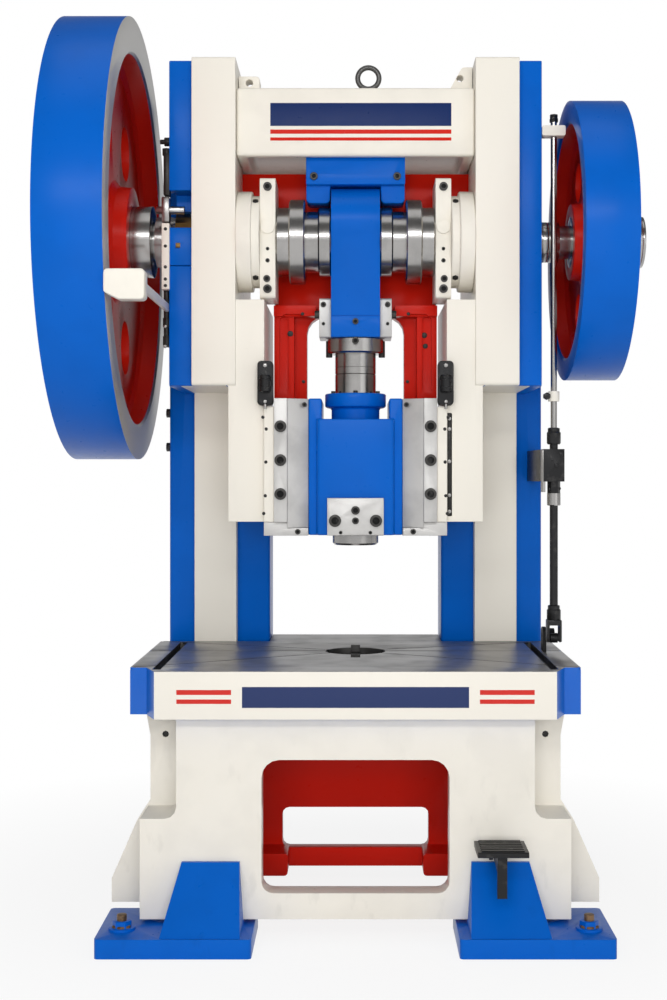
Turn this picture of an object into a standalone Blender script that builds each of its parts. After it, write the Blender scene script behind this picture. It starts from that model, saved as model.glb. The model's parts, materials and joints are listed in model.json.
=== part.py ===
"""H-frame power press: bed, table, twin columns, crankshaft, flywheels, pitman, ram and foot pedal.

Metres, +Z up, +X to the viewer's right, the operator stands at -Y. The origin is on the floor
under the axis of the ram. The ram is at the top of its stroke.
"""

import math

import bmesh
import bpy
from mathutils import Matrix, Vector

# Fits and overruns shared by every piece
GAP = 0.0003
RUN_GAP = 0.0009
CUT = 0.02
ROUND_STEPS = 24
SMALL_STEPS = 8
CORNER_STEPS = 3
WIDE_CORNER_STEPS = 4
HEX_SIDES = 6
NEARLY_STRAIGHT = math.radians(88)
SHARP_ANGLE = math.radians(35)

# Feet
FOOT_THICK = 0.048
FOOT_INNER = 0.255
FOOT_OUTER = 0.640
FOOT_FRONT = 0.533
FOOT_DEPTH = 0.271
WEDGE_INNER = 0.283
WEDGE_OUTER = 0.483
WEDGE_TOP_INNER = 0.293
WEDGE_TOP_OUTER = 0.439
WEDGE_TOP = 0.206
ANCHOR_X = 0.584
ANCHOR_WASHER = 0.034
ANCHOR_WASHER_THICK = 0.006
ANCHOR_NUT = 0.024
ANCHOR_NUT_THICK = 0.016
ANCHOR_STUD = 0.011
ANCHOR_STUD_RISE = 0.010

# Bed
BED_TOP = 0.571
BED_FRONT = 0.400
BED_BACK = 0.470
BED_LOW = 0.059
BED_STEP = 0.313
BED_NECK_HALF = 0.454
BED_BASE_HALF = 0.546
BED_WALL = 0.068
BED_NOTCH_RADIUS = 0.030
CHEEK_FRONT = 0.245
CHEEK_THICK = 0.045
CHEEK_FOOT_HALF = 0.642
CHEEK_WAIST_HALF = 0.575
CHEEK_TOP_HALF = 0.540
CHEEK_FOOT_TOP = 0.122
CHEEK_WAIST = 0.275
CHEEK_SHOULDER = 0.330
CHEEK_FLARE = 0.498
CHEEK_HOLE = 0.009
WINDOW_HALF = 0.238
WINDOW_LOW = 0.1245
WINDOW_TOP = 0.462
WINDOW_RADIUS = 0.045
INNER_WALL_Y = 0.120
INNER_WALL_THICK = 0.040
INNER_OPENING_HALF = 0.210
INNER_OPENING_LOW = 0.112
INNER_OPENING_TOP = 0.228
BOSS_HEIGHT = 0.062
BOSS_DEPTH = 0.110
REAR_OPENING_TOP = 0.240

# Table
TABLE_THICK = 0.120
TABLE_FRONT = 0.445
TABLE_FACE_HALF = 0.504
TABLE_CHAMFER_HALF = 0.534
TABLE_CORNER_Y = 0.362
TABLE_HALF = 0.576
TABLE_SIDE_BACK = 0.248
TABLE_TONGUE_BACK = 0.437
TABLE_BORE = 0.084
NOTCH_HALF = 0.013
NOTCH_REACH = 0.150
GROOVE_HALF = 0.003
GROOVE_DEPTH = 0.006
SLOT_HALF = 0.011
SLOT_DEPTH = 0.020
SLOT_INSET = 0.072
SLOT_FRONT = 0.402
SLOT_BACK = 0.215

# Columns, each a leg with a head that overhangs to the front
LEG_HEIGHT = 0.735
LEG_INNER = 0.256
LEG_OUTER = 0.557
LEG_FRONT = 0.300
LEG_RIB_INNER = 0.353
LEG_RIB_OUTER = 0.477
LEG_RIB_FRONT = 0.250
HEAD_HEIGHT = 0.893
HEAD_INNER = 0.326
HEAD_RIB_OUTER = 0.445
HEAD_OUTER = 0.511
HEAD_RIB_FRONT = 0.128
HEAD_FRONT = 0.078
CROWN_LOW = 2.056
CROWN_TOP = 2.243
CROWN_FRONT = 0.095
CROWN_DEPTH = 0.400
CROWN_PLATE = 0.030

# Crankshaft and its bearings
CRANK_RISE = 0.407
THROW = 0.050
PIN_RADIUS = 0.045
WEB_RADIUS = 0.096
WEB_WIDTH = 0.036
NECK_RADIUS = 0.085
NECK_WIDTH = 0.036
DISC_RADIUS = 0.118
DISC_WIDTH = 0.044
STEP_RADIUS = 0.097
STEP_WIDTH = 0.036
JOURNAL_RADIUS = 0.070
FLANGE_RADIUS = 0.140
RING_WIDTH = 0.023
RING_RADIUS = 0.128
CLAMP_WIDTH = 0.043
CLAMP_HALF_HEIGHT = 0.165
CLAMP_HALF_DEPTH = 0.085
CLAMP_BOSS = 0.030
CLAMP_BOSS_RISE = 0.008

# Pitman, adjusting screw and ball retainer
PITMAN_HALF = 0.067
BIG_END_RADIUS = 0.099
SLEEVE_RADIUS = 0.078
PITMAN_LOW = 1.562
PITMAN_DEPTH_HALF = 0.085
PITMAN_BORE_TOP = 1.760
CAP_HALF = 0.1366
CAP_LOW = 1.984
CAP_FRONT = 0.060
CAP_BACK = 0.060
EAR_LOW = 1.936
EAR_FRONT = 0.040
CLAMP_PLATE_THICK = 0.033
CLAMP_PLATE_TOP = 1.670
CLAMP_PLATE_HALF = 0.060
COLLAR_RADIUS = 0.078
COLLAR_LOW = 1.520
SCREW_RADIUS = 0.057
SCREW_TOP = 1.727
BALL_CENTRE = 1.330
RETAINER_RADIUS = 0.085
RETAINER_TOP = 1.409
RETAINER_FLANGE = 0.037
RETAINER_NECK = 0.067

# Small sizes of the frame
SMALL_ROUND = 0.010
WEDGE_SETBACK = 0.004
WEDGE_SINK = 0.006
WEDGE_TOP_DEPTH = 0.012
ANCHOR_Y = 0.445
BED_ROOF = 0.060
BED_SINK = 0.010
WINDOW_LOW_SHARE = 0.66
BOSS_INSET = 0.020
CHEEK_FLARE_HALF = 0.553
CHEEK_REAR = 0.270
CHEEK_HOLE_X = 0.500
CHEEK_HOLE_DROP = 0.070
TONGUE_GAP = 0.002
GROOVE_OVERRUN_SHARE = 1.1
ARM_FRONT = 0.120
ARM_TOP = 1.660
POCKET_INSET = 0.030
POCKET_BACK = 0.120
POCKET_DROP = 0.120
POCKET_RISE = 0.170
POCKET_DEPTH = 0.012
BUSH_WALL = 0.015
CROWN_CORNER = 0.030
CROWN_RISE = 0.040

# Ram, gibs and guides
RAM_FRONT = 0.140
RAM_BACK = 0.140
RAM_HALF = 0.1275
RAM_LOW = 1.020
RAM_FACE_TOP = 1.335
RAM_EAR_TOP = 1.391
RAM_EAR_INNER = 0.092
RAM_PANEL_HALF = 0.105
RAM_PANEL_STEP = 0.016
RAM_EDGE = 0.005
SHANK_BLOCK_HALF = 0.076
SHANK_BLOCK_TOP = 1.121
SHANK_BLOCK_THICK = 0.022
SHANK_SCREW_X = 0.055
SHANK_SCREW_RISE = 0.040
SHANK_SCREW_RADIUS = 0.0155
TOOL_DISC_RADIUS = 0.064
TOOL_DISC_THICK = 0.031
GIB_WIDTH = 0.056
GIB_TOP = 1.390
GIB_LOW = 1.040
GIB_FRONT = 0.150
GIB_BACK = 0.120
STRIP_WIDTH = 0.036
STRIP_FRONT = 0.158
GUIDE_WIDTH = 0.028
GUIDE_FRONT = 0.146
GUIDE_TOP = 1.368
GUIDE_LOW = 1.056
GIB_SCREW_RADIUS = 0.0150
GIB_SCREW_HEAD = 0.010
GIB_SCREW_PITCH = 0.091
GIB_SHOE_LOW = 1.019
GIB_SHOE_FRONT = 0.140

# Flywheel, drive wheel and their hubs
WHEEL_RADIUS = 0.606
WHEEL_INNER = 0.607
WHEEL_WIDTH = 0.172
WHEEL_RIM = 0.098
WHEEL_WEB = 0.045
WHEEL_WEB_INSET = 0.062
WHEEL_BOSS_RADIUS = 0.150
WHEEL_HOLE_RADIUS = 0.078
WHEEL_HOLE_CIRCLE = 0.325
WHEEL_HOLES = 6
HUB_RADIUS = 0.099
HUB_INNER = 0.563
DRIVE_RADIUS = 0.385
DRIVE_INNER = 0.587
DRIVE_WIDTH = 0.139
DRIVE_RIM = 0.062
DRIVE_WEB = 0.035
DRIVE_WEB_INSET = 0.052
DRIVE_BOSS_RADIUS = 0.105
DRIVE_HOLE_RADIUS = 0.055
DRIVE_HOLE_CIRCLE = 0.215
DRIVE_HUB_RADIUS = 0.071
DRIVE_HUB_OUT = 0.800
SHAFT_RADIUS = 0.046
THRUST_RADIUS = 0.056
THRUST_WIDTH = 0.050

# Red guide casting between the columns
RED_HALF = 0.232
RED_TOP = 2.050
RED_FRONT = 0.130
RED_BACK = 0.190
RED_WALL = 0.030
RED_ARCH_HALF = 0.140
RED_ARCH_TOP = 1.640
RED_ARCH_RADIUS = 0.050
RED_SHELF = 1.664
RED_SHELF_THICK = 0.030

# Operating rod at the right-hand side
ROD_Y = 0.072
ROD_X = 0.545
ROD_RADIUS = 0.011
ROD_THIN_RADIUS = 0.008
ROD_TOP = 2.160
ROD_LOW = 0.780
COUPLER_RADIUS = 0.019
COUPLER_LENGTH = 0.042
ARM_Z = 2.112
ARM_THICK = 0.028
BLOCK_LOW = 1.165
BLOCK_HEIGHT = 0.089
JOINT_RISE = 0.001
BLOCK_HALF = 0.026
ROCKER_Z = 0.735
ROCKER_RADIUS = 0.013
ROCKER_EYE = 0.020
ROCKER_WIDTH = 0.010

# Brake shoe on the flywheel
SHOE_TOP = 1.679
SHOE_LOW = 1.605
SHOE_FRONT = 0.600
SHOE_BACK = 0.545
SHOE_INNER = 0.506
SHOE_GAP = 0.0015
SHOE_ARM_HALF = 0.012

# Foot pedal
PEDAL_X = 0.358
PEDAL_HALF = 0.062
PEDAL_Z = 0.256
PEDAL_FRONT = 0.572
PEDAL_LENGTH = 0.126
PEDAL_THICK = 0.014
PEDAL_PIVOT_Z = 0.236
PEDAL_PIVOT_Y = 0.424
PEDAL_STEM_HALF = 0.012
PEDAL_STEM_LOW = 0.150
PEDAL_PIN = 0.012

# Lifting gear on the crown
EYE_X = 0.036
EYE_RADIUS = 0.030
EYE_BAR = 0.007
EYE_SHANK = 0.014
LUG_THICK = 0.060
LUG_HOLE = 0.010
LUG_LEFT_TOP = 2.290
LUG_LEFT_WIDTH = 0.060
LUG_RIGHT_TOP = 2.315

# Small sizes of the mechanism
EAR_CLEAR = 0.003
EAR_ROUND = 0.012
EAR_SCREW = 0.010
EAR_SCREW_HEAD = 0.006
EAR_SCREW_INSET = 0.022
RED_LOW = 1.391
RED_SHOULDER = 1.930
RED_RIB_INNER = 0.175
RED_RIB_FRONT = 0.085
RED_DISH = 0.015
RED_SHELF_INNER = 0.112
RED_SHELF_FRONT = 0.060
CLAMP_BOSS_RADIUS = 0.019
CLAMP_SCREW_RISE = 0.140
CLAMP_SCREW = 0.011
CLAMP_SCREW_HEAD = 0.006
BUSH_OUT = 0.495
THRUST_GAP = 0.004
HUB_LIP = 0.020
WHEEL_SHAFT = 0.055
JOINT_GROOVE = 0.003
PITMAN_JOINT = 1.618
PITMAN_SCREW_DROP = 0.014
PITMAN_SCREW = 0.008
PLATE_BOLT = 0.010
COLLAR_BOLT = 0.009
BALL_STEPS = 3
SCREW_GROOVE = 0.003
SCREW_GROOVE_DROP = 0.052
RETAINER_SCREWS = 6
RETAINER_SCREW = 0.006
SHANK_SCREW_SMALL = 0.011
TOOL_BORE = 0.025
TOOL_ROOF_SHARE = 0.25
SHANK_RISE_SHARE = 0.7
SHANK_SMALL_SHARE = 0.8
PEDAL_STEM_SHARE = 0.25
PEDAL_RIB_SHARE = 0.25
STRIP_BACK = 0.020
SHOE_SCREW = 0.007
SHOE_SCREW_RISE = 0.011
OIL_INNER = 0.222
OIL_OUTER = 0.264
OIL_LOW = 1.3705
OIL_TOP = 1.490
OIL_FRONT = 0.165
OIL_DRUM = 0.017
OIL_DRUM_RISE = 0.006
WHEEL_STEPS = 48
HOLE_STEPS = 16
BOSS_BACK = 0.012
ROD_ARM_HALF = 0.020
ROD_ARM_REACH = 0.030
ROD_BOLT = 0.012
GUIDE_SEAT = 0.006
GUIDE_HEX = 0.018
GUIDE_HEX_LENGTH = 0.033
ROCKER_BEARING = 0.024
LUG_ROUND = 0.020
PEDAL_RIB = 0.003
PEDAL_RIBS = 7
PEDAL_EAR = 0.010
PEDAL_EAR_GAP = 0.001
PEDAL_ARM_HALF = 0.018
EYE_STEPS = 16
EYE_SIDES = 8
COUPLER_SHIFT = 0.012
BLOCK_SEAT = 0.003
FORK_DROP = 0.055
FORK_CLEAR = 0.002
ROCKER_PIVOT_Y = 0.0
BRACKET_THICK = 0.010
SHOE_CHAMFER = 0.018
SHOE_ARM_THICK = 0.012
EYE_Z = 2.292
LUG_GAP = 0.002
LUG_RIGHT_WIDTH = 0.070
LUG_SLOPE = 0.040

# Levels and places that follow from the sizes above
TABLE_TOP = BED_TOP + TABLE_THICK
BLOCK_TOP = BLOCK_LOW + BLOCK_HEIGHT
ROD_JOINT_LOW = BLOCK_TOP + JOINT_RISE
HEAD_LOW = TABLE_TOP + LEG_HEIGHT
HEAD_TOP = HEAD_LOW + HEAD_HEIGHT
CRANK_Z = HEAD_LOW + CRANK_RISE
PIN_Z = CRANK_Z + THROW
ECCENTRIC = THROW / 2
WEDGE_BACK = BED_FRONT + GAP
WEB_IN = PITMAN_HALF + GAP
WEB_OUT = WEB_IN + WEB_WIDTH
NECK_OUT = WEB_OUT + NECK_WIDTH
DISC_OUT = NECK_OUT + DISC_WIDTH
STEP_OUT = DISC_OUT + STEP_WIDTH
RING_IN = STEP_OUT + CLAMP_WIDTH
RING_OUT = RING_IN + RING_WIDTH
CAP_TOP = CROWN_LOW + CROWN_RISE - GAP
GIB_INNER = RAM_HALF + GAP
GIB_OUTER = GIB_INNER + GIB_WIDTH
STRIP_OUTER = GIB_OUTER + STRIP_WIDTH
GUIDE_OUTER = STRIP_OUTER + GUIDE_WIDTH

CREAM = ((0.83, 0.79, 0.70), 0.35, 0.0)
BLUE = ((0.004, 0.115, 0.62), 0.35, 0.0)
RED = ((0.52, 0.012, 0.006), 0.35, 0.0)
STEEL = ((0.50, 0.48, 0.46), 0.30, 1.0)
BRIGHT_STEEL = ((0.62, 0.60, 0.58), 0.25, 1.0)
DARK_STEEL = ((0.045, 0.043, 0.042), 0.45, 0.5)
BRONZE = ((0.21, 0.12, 0.06), 0.30, 1.0)
RUBBER = ((0.035, 0.030, 0.026), 0.70, 0.0)


def clear_scene():
    """Removes every object of the scene."""
    for old in list(bpy.data.objects):
        bpy.data.objects.remove(old, do_unlink=True)


def finish_of(name, finish):
    """Gives a Principled material with a finish's colour, roughness and metallic value."""
    colour, roughness, metallic = finish
    made = bpy.data.materials.new(name)
    made.use_nodes = True
    shader = made.node_tree.nodes["Principled BSDF"]
    shader.inputs["Base Color"].default_value = (*colour, 1)
    shader.inputs["Roughness"].default_value = roughness
    shader.inputs["Metallic"].default_value = metallic
    return made


def paint(part, finish):
    """Puts a material of its own on the part."""
    part.data.materials.clear()
    part.data.materials.append(finish_of(part.name + "_finish", finish))
    return part


def part_of(name, mesh):
    """Makes an object from a bmesh, with its faces pointing out."""
    bmesh.ops.recalc_face_normals(mesh, faces=mesh.faces)
    data = bpy.data.meshes.new(name)
    mesh.to_mesh(data)
    mesh.free()
    made = bpy.data.objects.new(name, data)
    bpy.context.scene.collection.objects.link(made)
    return made


def smooth(part):
    """Shades a round part smooth between its sharp edges."""
    part.data.shade_smooth()
    part.data.set_sharp_from_angle(angle=SHARP_ANGLE)
    return part


AXES = {
    "X": lambda along, u, v: (along, u, v),
    "Y": lambda along, u, v: (u, along, v),
    "Z": lambda along, u, v: (u, v, along),
}


def prism(name, outline, axis, low, high):
    """Extrudes a closed outline along an axis; X takes (y, z), Y takes (x, z), Z takes (x, y)."""
    place = AXES[axis]
    mesh = bmesh.new()
    near = [mesh.verts.new(place(low, u, v)) for u, v in outline]
    face = mesh.faces.new(near)
    grown = bmesh.ops.extrude_face_region(mesh, geom=[face])
    move = Vector(place(high - low, 0, 0))
    for item in grown["geom"]:
        if isinstance(item, bmesh.types.BMVert):
            item.co += move
    return part_of(name, mesh)


def turned(name, profile, axis, centre=(0, 0, 0), steps=ROUND_STEPS):
    """Turns (along, radius) points round an axis through the centre; both ends are closed."""
    place = AXES[axis]
    mesh = bmesh.new()
    rings = []
    for along, radius in profile:
        ring = []
        for step in range(steps):
            angle = math.tau * step / steps
            u, v = radius * math.cos(angle), radius * math.sin(angle)
            ring.append(mesh.verts.new(Vector(place(along, u, v)) + Vector(centre)))
        rings.append(ring)
    for lower, upper in zip(rings, rings[1:]):
        for step in range(steps):
            after = (step + 1) % steps
            mesh.faces.new((lower[step], lower[after], upper[after], upper[step]))
    mesh.faces.new(rings[0])
    mesh.faces.new(rings[-1])
    return part_of(name, mesh)


def rod(name, axis, low, high, radius, centre=(0, 0, 0), steps=ROUND_STEPS):
    """Makes a plain cylinder."""
    return turned(name, [(low, radius), (high, radius)], axis, centre, steps)


def rect(u_low, u_high, v_low, v_high):
    """Gives the four corners of a rectangle."""
    return [(u_low, v_low), (u_high, v_low), (u_high, v_high), (u_low, v_high)]


def filleted(outline, radii, steps=CORNER_STEPS):
    """Rounds each corner of an outline by its radius; one radius serves all corners."""
    count = len(outline)
    if not isinstance(radii, (list, tuple)):
        radii = [radii] * count
    rounded = []
    for index, corner in enumerate(outline):
        here = Vector(corner)
        back = (Vector(outline[index - 1]) - here).normalized()
        ahead = (Vector(outline[(index + 1) % count]) - here).normalized()
        half = back.angle(ahead) / 2
        radius = radii[index]
        if radius <= 0 or half > NEARLY_STRAIGHT:
            rounded.append(tuple(here))
            continue
        centre = here + (back + ahead).normalized() * (radius / math.sin(half))
        start = here + back * (radius / math.tan(half)) - centre
        end = here + ahead * (radius / math.tan(half)) - centre
        turn = start.angle_signed(end)
        for step in range(steps + 1):
            spoke = start.copy()
            spoke.rotate(Matrix.Rotation(-turn * step / steps, 2))
            rounded.append(tuple(centre + spoke))
    return rounded


def apply_boolean(target, tool, operation):
    """Applies one Boolean to the target and removes the tool."""
    modifier = target.modifiers.new(operation.title(), "BOOLEAN")
    modifier.operation = operation
    modifier.solver = "EXACT"
    modifier.object = tool
    bpy.context.view_layer.objects.active = target
    bpy.ops.object.modifier_apply(modifier=modifier.name)
    bpy.data.objects.remove(tool, do_unlink=True)
    return target


def cut(target, *tools):
    """Takes each tool out of the target."""
    for tool in tools:
        apply_boolean(target, tool, "DIFFERENCE")
    return target


def join(target, *tools):
    """Makes the target and each tool one body."""
    for tool in tools:
        apply_boolean(target, tool, "UNION")
    return target


def twin(source, name):
    """Copies a part to the other side of the X = 0 plane."""
    data = source.data.copy()
    data.name = name
    data.transform(Matrix.Diagonal((-1, 1, 1, 1)))
    data.flip_normals()
    made = bpy.data.objects.new(name, data)
    bpy.context.scene.collection.objects.link(made)
    made.matrix_world = Matrix.Diagonal((1, 1, 1, 1))
    return made


def screw_head(axis, face, out, u, v, radius, head):
    """Makes a cap screw's head on a face, sunk a little so that it joins."""
    centre = Vector(AXES[axis](0, u, v))
    return rod("head", axis, face - out * head, face + out * head, radius, centre, SMALL_STEPS)


def pivot_on(part, location, parent=None):
    """Puts the part's origin on a joint's axis and hangs it on its parent."""
    part.data.transform(Matrix.Translation(-Vector(location)))
    part.location = location
    if parent is not None:
        bpy.context.view_layer.update()
        part.parent = parent
        part.matrix_parent_inverse = parent.matrix_world.inverted()
    return part


def anchor_foot(name, side, facing):
    """Blue foot: a sole plate with a tapering wedge and its anchor stud; facing -1 is the front."""
    front = FOOT_FRONT
    back = FOOT_FRONT - FOOT_DEPTH
    sole_outline = rect(FOOT_INNER, FOOT_OUTER, -front, -back)
    foot = prism(name, filleted(sole_outline, SMALL_ROUND), "Z", 0, FOOT_THICK)
    mesh = bmesh.new()
    low = [(WEDGE_INNER, front - WEDGE_SETBACK), (WEDGE_OUTER, front - WEDGE_SETBACK)]
    low += [(WEDGE_OUTER, WEDGE_BACK), (WEDGE_INNER, WEDGE_BACK)]
    high = [(WEDGE_TOP_INNER, WEDGE_BACK + WEDGE_TOP_DEPTH), (WEDGE_TOP_OUTER, WEDGE_BACK + WEDGE_TOP_DEPTH)]
    high += [(WEDGE_TOP_OUTER, WEDGE_BACK), (WEDGE_TOP_INNER, WEDGE_BACK)]
    lower = [mesh.verts.new((x, -y, FOOT_THICK - WEDGE_SINK)) for x, y in low]
    upper = [mesh.verts.new((x, -y, WEDGE_TOP)) for x, y in high]
    mesh.faces.new(lower)
    mesh.faces.new(upper)
    for index in range(len(low)):
        after = (index + 1) % len(low)
        mesh.faces.new((lower[index], lower[after], upper[after], upper[index]))
    pad_outline = rect(WEDGE_INNER, WEDGE_OUTER, -WEDGE_BACK - WEDGE_SINK, -back)
    pad = prism("pad", pad_outline, "Z", FOOT_THICK - WEDGE_SINK, BED_LOW - GAP)
    join(foot, part_of("wedge", mesh), pad)
    washer = rod("washer", "Z", FOOT_THICK - WEDGE_SINK, FOOT_THICK + ANCHOR_WASHER_THICK,
                 ANCHOR_WASHER, (ANCHOR_X, -ANCHOR_Y, 0), SMALL_STEPS * 2)
    nut_top = FOOT_THICK + ANCHOR_WASHER_THICK + ANCHOR_NUT_THICK
    nut = rod("nut", "Z", FOOT_THICK, nut_top, ANCHOR_NUT, (ANCHOR_X, -ANCHOR_Y, 0), HEX_SIDES)
    stud = rod("stud", "Z", FOOT_THICK, nut_top + ANCHOR_STUD_RISE, ANCHOR_STUD,
               (ANCHOR_X, -ANCHOR_Y, 0), SMALL_STEPS)
    join(foot, washer, nut, stud)
    if side < 0:
        foot.data.transform(Matrix.Diagonal((-1, 1, 1, 1)))
        foot.data.flip_normals()
    if facing > 0:
        foot.data.transform(Matrix.Diagonal((1, -1, 1, 1)))
        foot.data.flip_normals()
        foot.data.transform(Matrix.Translation((0, BED_BACK - BED_FRONT, 0)))
    return paint(foot, BLUE)


def bed_body():
    """Cream bed: stepped front plate, side cheeks, red-lined window and cross wall, open below."""
    face = [(-BED_BASE_HALF, BED_LOW), (BED_BASE_HALF, BED_LOW), (BED_BASE_HALF, BED_STEP),
            (BED_NECK_HALF, BED_STEP), (BED_NECK_HALF, BED_TOP), (-BED_NECK_HALF, BED_TOP),
            (-BED_NECK_HALF, BED_STEP), (-BED_BASE_HALF, BED_STEP)]
    radii = [0, 0, 0, BED_NOTCH_RADIUS, 0, 0, BED_NOTCH_RADIUS, 0]
    bed = prism("bed", filleted(face, radii), "Y", -BED_FRONT, BED_BACK)
    hollow_half = BED_NECK_HALF - BED_WALL
    hollow = prism("hollow", rect(-hollow_half, hollow_half, -CUT, BED_TOP - BED_ROOF),
                   "Y", -BED_FRONT + BED_WALL, BED_BACK - BED_WALL)
    window = filleted(rect(-WINDOW_HALF, WINDOW_HALF, WINDOW_LOW, WINDOW_TOP),
                      [WINDOW_RADIUS * WINDOW_LOW_SHARE] * 2 + [WINDOW_RADIUS] * 2, WIDE_CORNER_STEPS)
    opening = prism("window", window, "Y", -BED_FRONT - CUT, -BED_FRONT + BED_WALL + CUT)
    rear = prism("rear", rect(-hollow_half, hollow_half, -CUT, REAR_OPENING_TOP),
                 "Y", BED_BACK - BED_WALL - CUT, BED_BACK + CUT)
    drop_hole = rod("drop_hole", "Z", BED_TOP - BED_ROOF - CUT, BED_TOP + CUT, TABLE_BORE)
    cut(bed, hollow, opening, rear, drop_hole)
    wall_half = hollow_half + BED_SINK
    low_bar = prism("low_bar", rect(-wall_half, wall_half, BED_LOW, BED_TOP - BED_ROOF + BED_SINK), "Y",
                    INNER_WALL_Y, INNER_WALL_Y + INNER_WALL_THICK)
    through = filleted(rect(-INNER_OPENING_HALF, INNER_OPENING_HALF, INNER_OPENING_LOW, INNER_OPENING_TOP),
                       SMALL_ROUND * 2)
    cut(low_bar, prism("through", through, "Y", INNER_WALL_Y - CUT,
                       INNER_WALL_Y + INNER_WALL_THICK + CUT))
    join(bed, low_bar)
    for side in (-1, 1):
        inner, outer = sorted((side * (INNER_OPENING_HALF - BOSS_INSET), side * (hollow_half + BED_SINK)))
        boss = prism("boss", filleted(rect(inner, outer, BED_LOW, BED_LOW + BOSS_HEIGHT), SMALL_ROUND),
                     "Y", INNER_WALL_Y - BOSS_DEPTH, INNER_WALL_Y + BED_SINK)
        join(bed, boss)
    cheek_line = [(BED_NECK_HALF - BED_SINK, BED_LOW), (CHEEK_FOOT_HALF, BED_LOW),
                  (CHEEK_FOOT_HALF, CHEEK_FOOT_TOP), (CHEEK_WAIST_HALF, CHEEK_WAIST),
                  (CHEEK_TOP_HALF, CHEEK_SHOULDER), (CHEEK_TOP_HALF, CHEEK_FLARE),
                  (CHEEK_FLARE_HALF, BED_TOP), (BED_NECK_HALF - BED_SINK, BED_TOP)]
    for side in (-1, 1):
        for front in (-CHEEK_FRONT, CHEEK_REAR):
            line = [(side * x, z) for x, z in cheek_line]
            cheek = prism("cheek", line, "Y", front, front + CHEEK_THICK)
            hole = rod("hole", "Y", front - CUT, front + CHEEK_THICK + CUT, CHEEK_HOLE,
                       (side * CHEEK_HOLE_X, 0, BED_TOP - CHEEK_HOLE_DROP), SMALL_STEPS)
            join(bed, cut(cheek, hole))
    return paint(bed, CREAM)


def table_plate():
    """Bolster: a steel-topped table with a round bore, a keyway across it, grooves and slots."""
    outline = [(-TABLE_FACE_HALF, -TABLE_FRONT), (TABLE_FACE_HALF, -TABLE_FRONT),
               (TABLE_CHAMFER_HALF, -TABLE_CORNER_Y), (TABLE_HALF, -TABLE_CORNER_Y),
               (TABLE_HALF, TABLE_SIDE_BACK), (LEG_INNER - TONGUE_GAP, TABLE_SIDE_BACK),
               (LEG_INNER - TONGUE_GAP, TABLE_TONGUE_BACK), (-LEG_INNER + TONGUE_GAP, TABLE_TONGUE_BACK),
               (-LEG_INNER + TONGUE_GAP, TABLE_SIDE_BACK), (-TABLE_HALF, TABLE_SIDE_BACK),
               (-TABLE_HALF, -TABLE_CORNER_Y), (-TABLE_CHAMFER_HALF, -TABLE_CORNER_Y)]
    table = prism("table", outline, "Z", BED_TOP + GAP, TABLE_TOP)
    bore = rod("bore", "Z", BED_TOP - CUT, TABLE_TOP + CUT, TABLE_BORE)
    notch = prism("notch", rect(-NOTCH_HALF, NOTCH_HALF, -NOTCH_REACH, NOTCH_REACH), "Z",
                  TABLE_TOP - SLOT_DEPTH, TABLE_TOP + CUT)
    cut(table, bore, notch)
    floor = TABLE_TOP - GROOVE_DEPTH
    across = prism("across", rect(-TABLE_HALF - CUT, TABLE_HALF + CUT, -GROOVE_HALF, GROOVE_HALF),
                   "Z", floor, TABLE_TOP + CUT)
    cut(table, across)
    for side in (-1, 1):
        for corner in ((TABLE_HALF, -TABLE_CORNER_Y), (TABLE_HALF, TABLE_SIDE_BACK)):
            reach = Vector((side * corner[0], corner[1]))
            normal = reach.normalized().orthogonal() * GROOVE_HALF
            far = reach * GROOVE_OVERRUN_SHARE
            line = [tuple(normal), tuple(far + normal), tuple(far - normal), tuple(-normal)]
            cut(table, prism("groove", line, "Z", floor, TABLE_TOP + CUT))
        inner = side * (TABLE_HALF - SLOT_INSET) - SLOT_HALF
        slot = prism("slot", rect(inner, inner + 2 * SLOT_HALF, -SLOT_FRONT, SLOT_BACK), "Z",
                     TABLE_TOP - SLOT_DEPTH, TABLE_TOP + CUT)
        cut(table, slot)
    return paint(table, BRIGHT_STEEL)


def column(name):
    """Right column: leg, rib, overhanging head, and the guide arm that reaches down inside it."""
    leg = rect(LEG_INNER, LEG_OUTER, LEG_FRONT, BED_BACK)
    post = prism(name, filleted(leg, SMALL_ROUND), "Z", BED_TOP + GAP, HEAD_TOP)
    rib = prism("rib", rect(LEG_RIB_INNER, LEG_RIB_OUTER, LEG_RIB_FRONT, LEG_FRONT + CUT), "Z",
                BED_TOP + GAP, HEAD_LOW + CUT)
    head = prism("head", rect(HEAD_INNER, HEAD_OUTER, -HEAD_FRONT, BED_BACK - CUT), "Z", HEAD_LOW, HEAD_TOP)
    rib_profile = rect(-HEAD_RIB_FRONT, CUT, HEAD_LOW, HEAD_TOP)
    head_rib = prism("head_rib", filleted(rib_profile, [SMALL_ROUND, 0, 0, SMALL_ROUND]), "X",
                     HEAD_INNER, HEAD_RIB_OUTER)
    join(post, rib, head, head_rib)
    arm = prism("arm", rect(GUIDE_OUTER + GAP, HEAD_INNER + CUT, -ARM_FRONT, LEG_FRONT + CUT), "Z",
                GUIDE_LOW, ARM_TOP)
    join(post, arm)
    top_cut = prism("top_cut", rect(0, HEAD_INNER, 0, BED_BACK + CUT), "Z", ARM_TOP, HEAD_TOP + CUT)
    bore = rod("bore", "X", HEAD_INNER - CUT, LEG_OUTER + CUT, JOURNAL_RADIUS + BUSH_WALL + GAP,
               (0, 0, CRANK_Z))
    pocket = prism("pocket", filleted(rect(-HEAD_FRONT + POCKET_INSET, POCKET_BACK,
                                           CRANK_Z - POCKET_DROP, CRANK_Z + POCKET_RISE), SMALL_ROUND),
                   "X", HEAD_OUTER - POCKET_DEPTH, LEG_OUTER + CUT)
    cut(post, top_cut, bore, pocket)
    return paint(post, CREAM)


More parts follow.
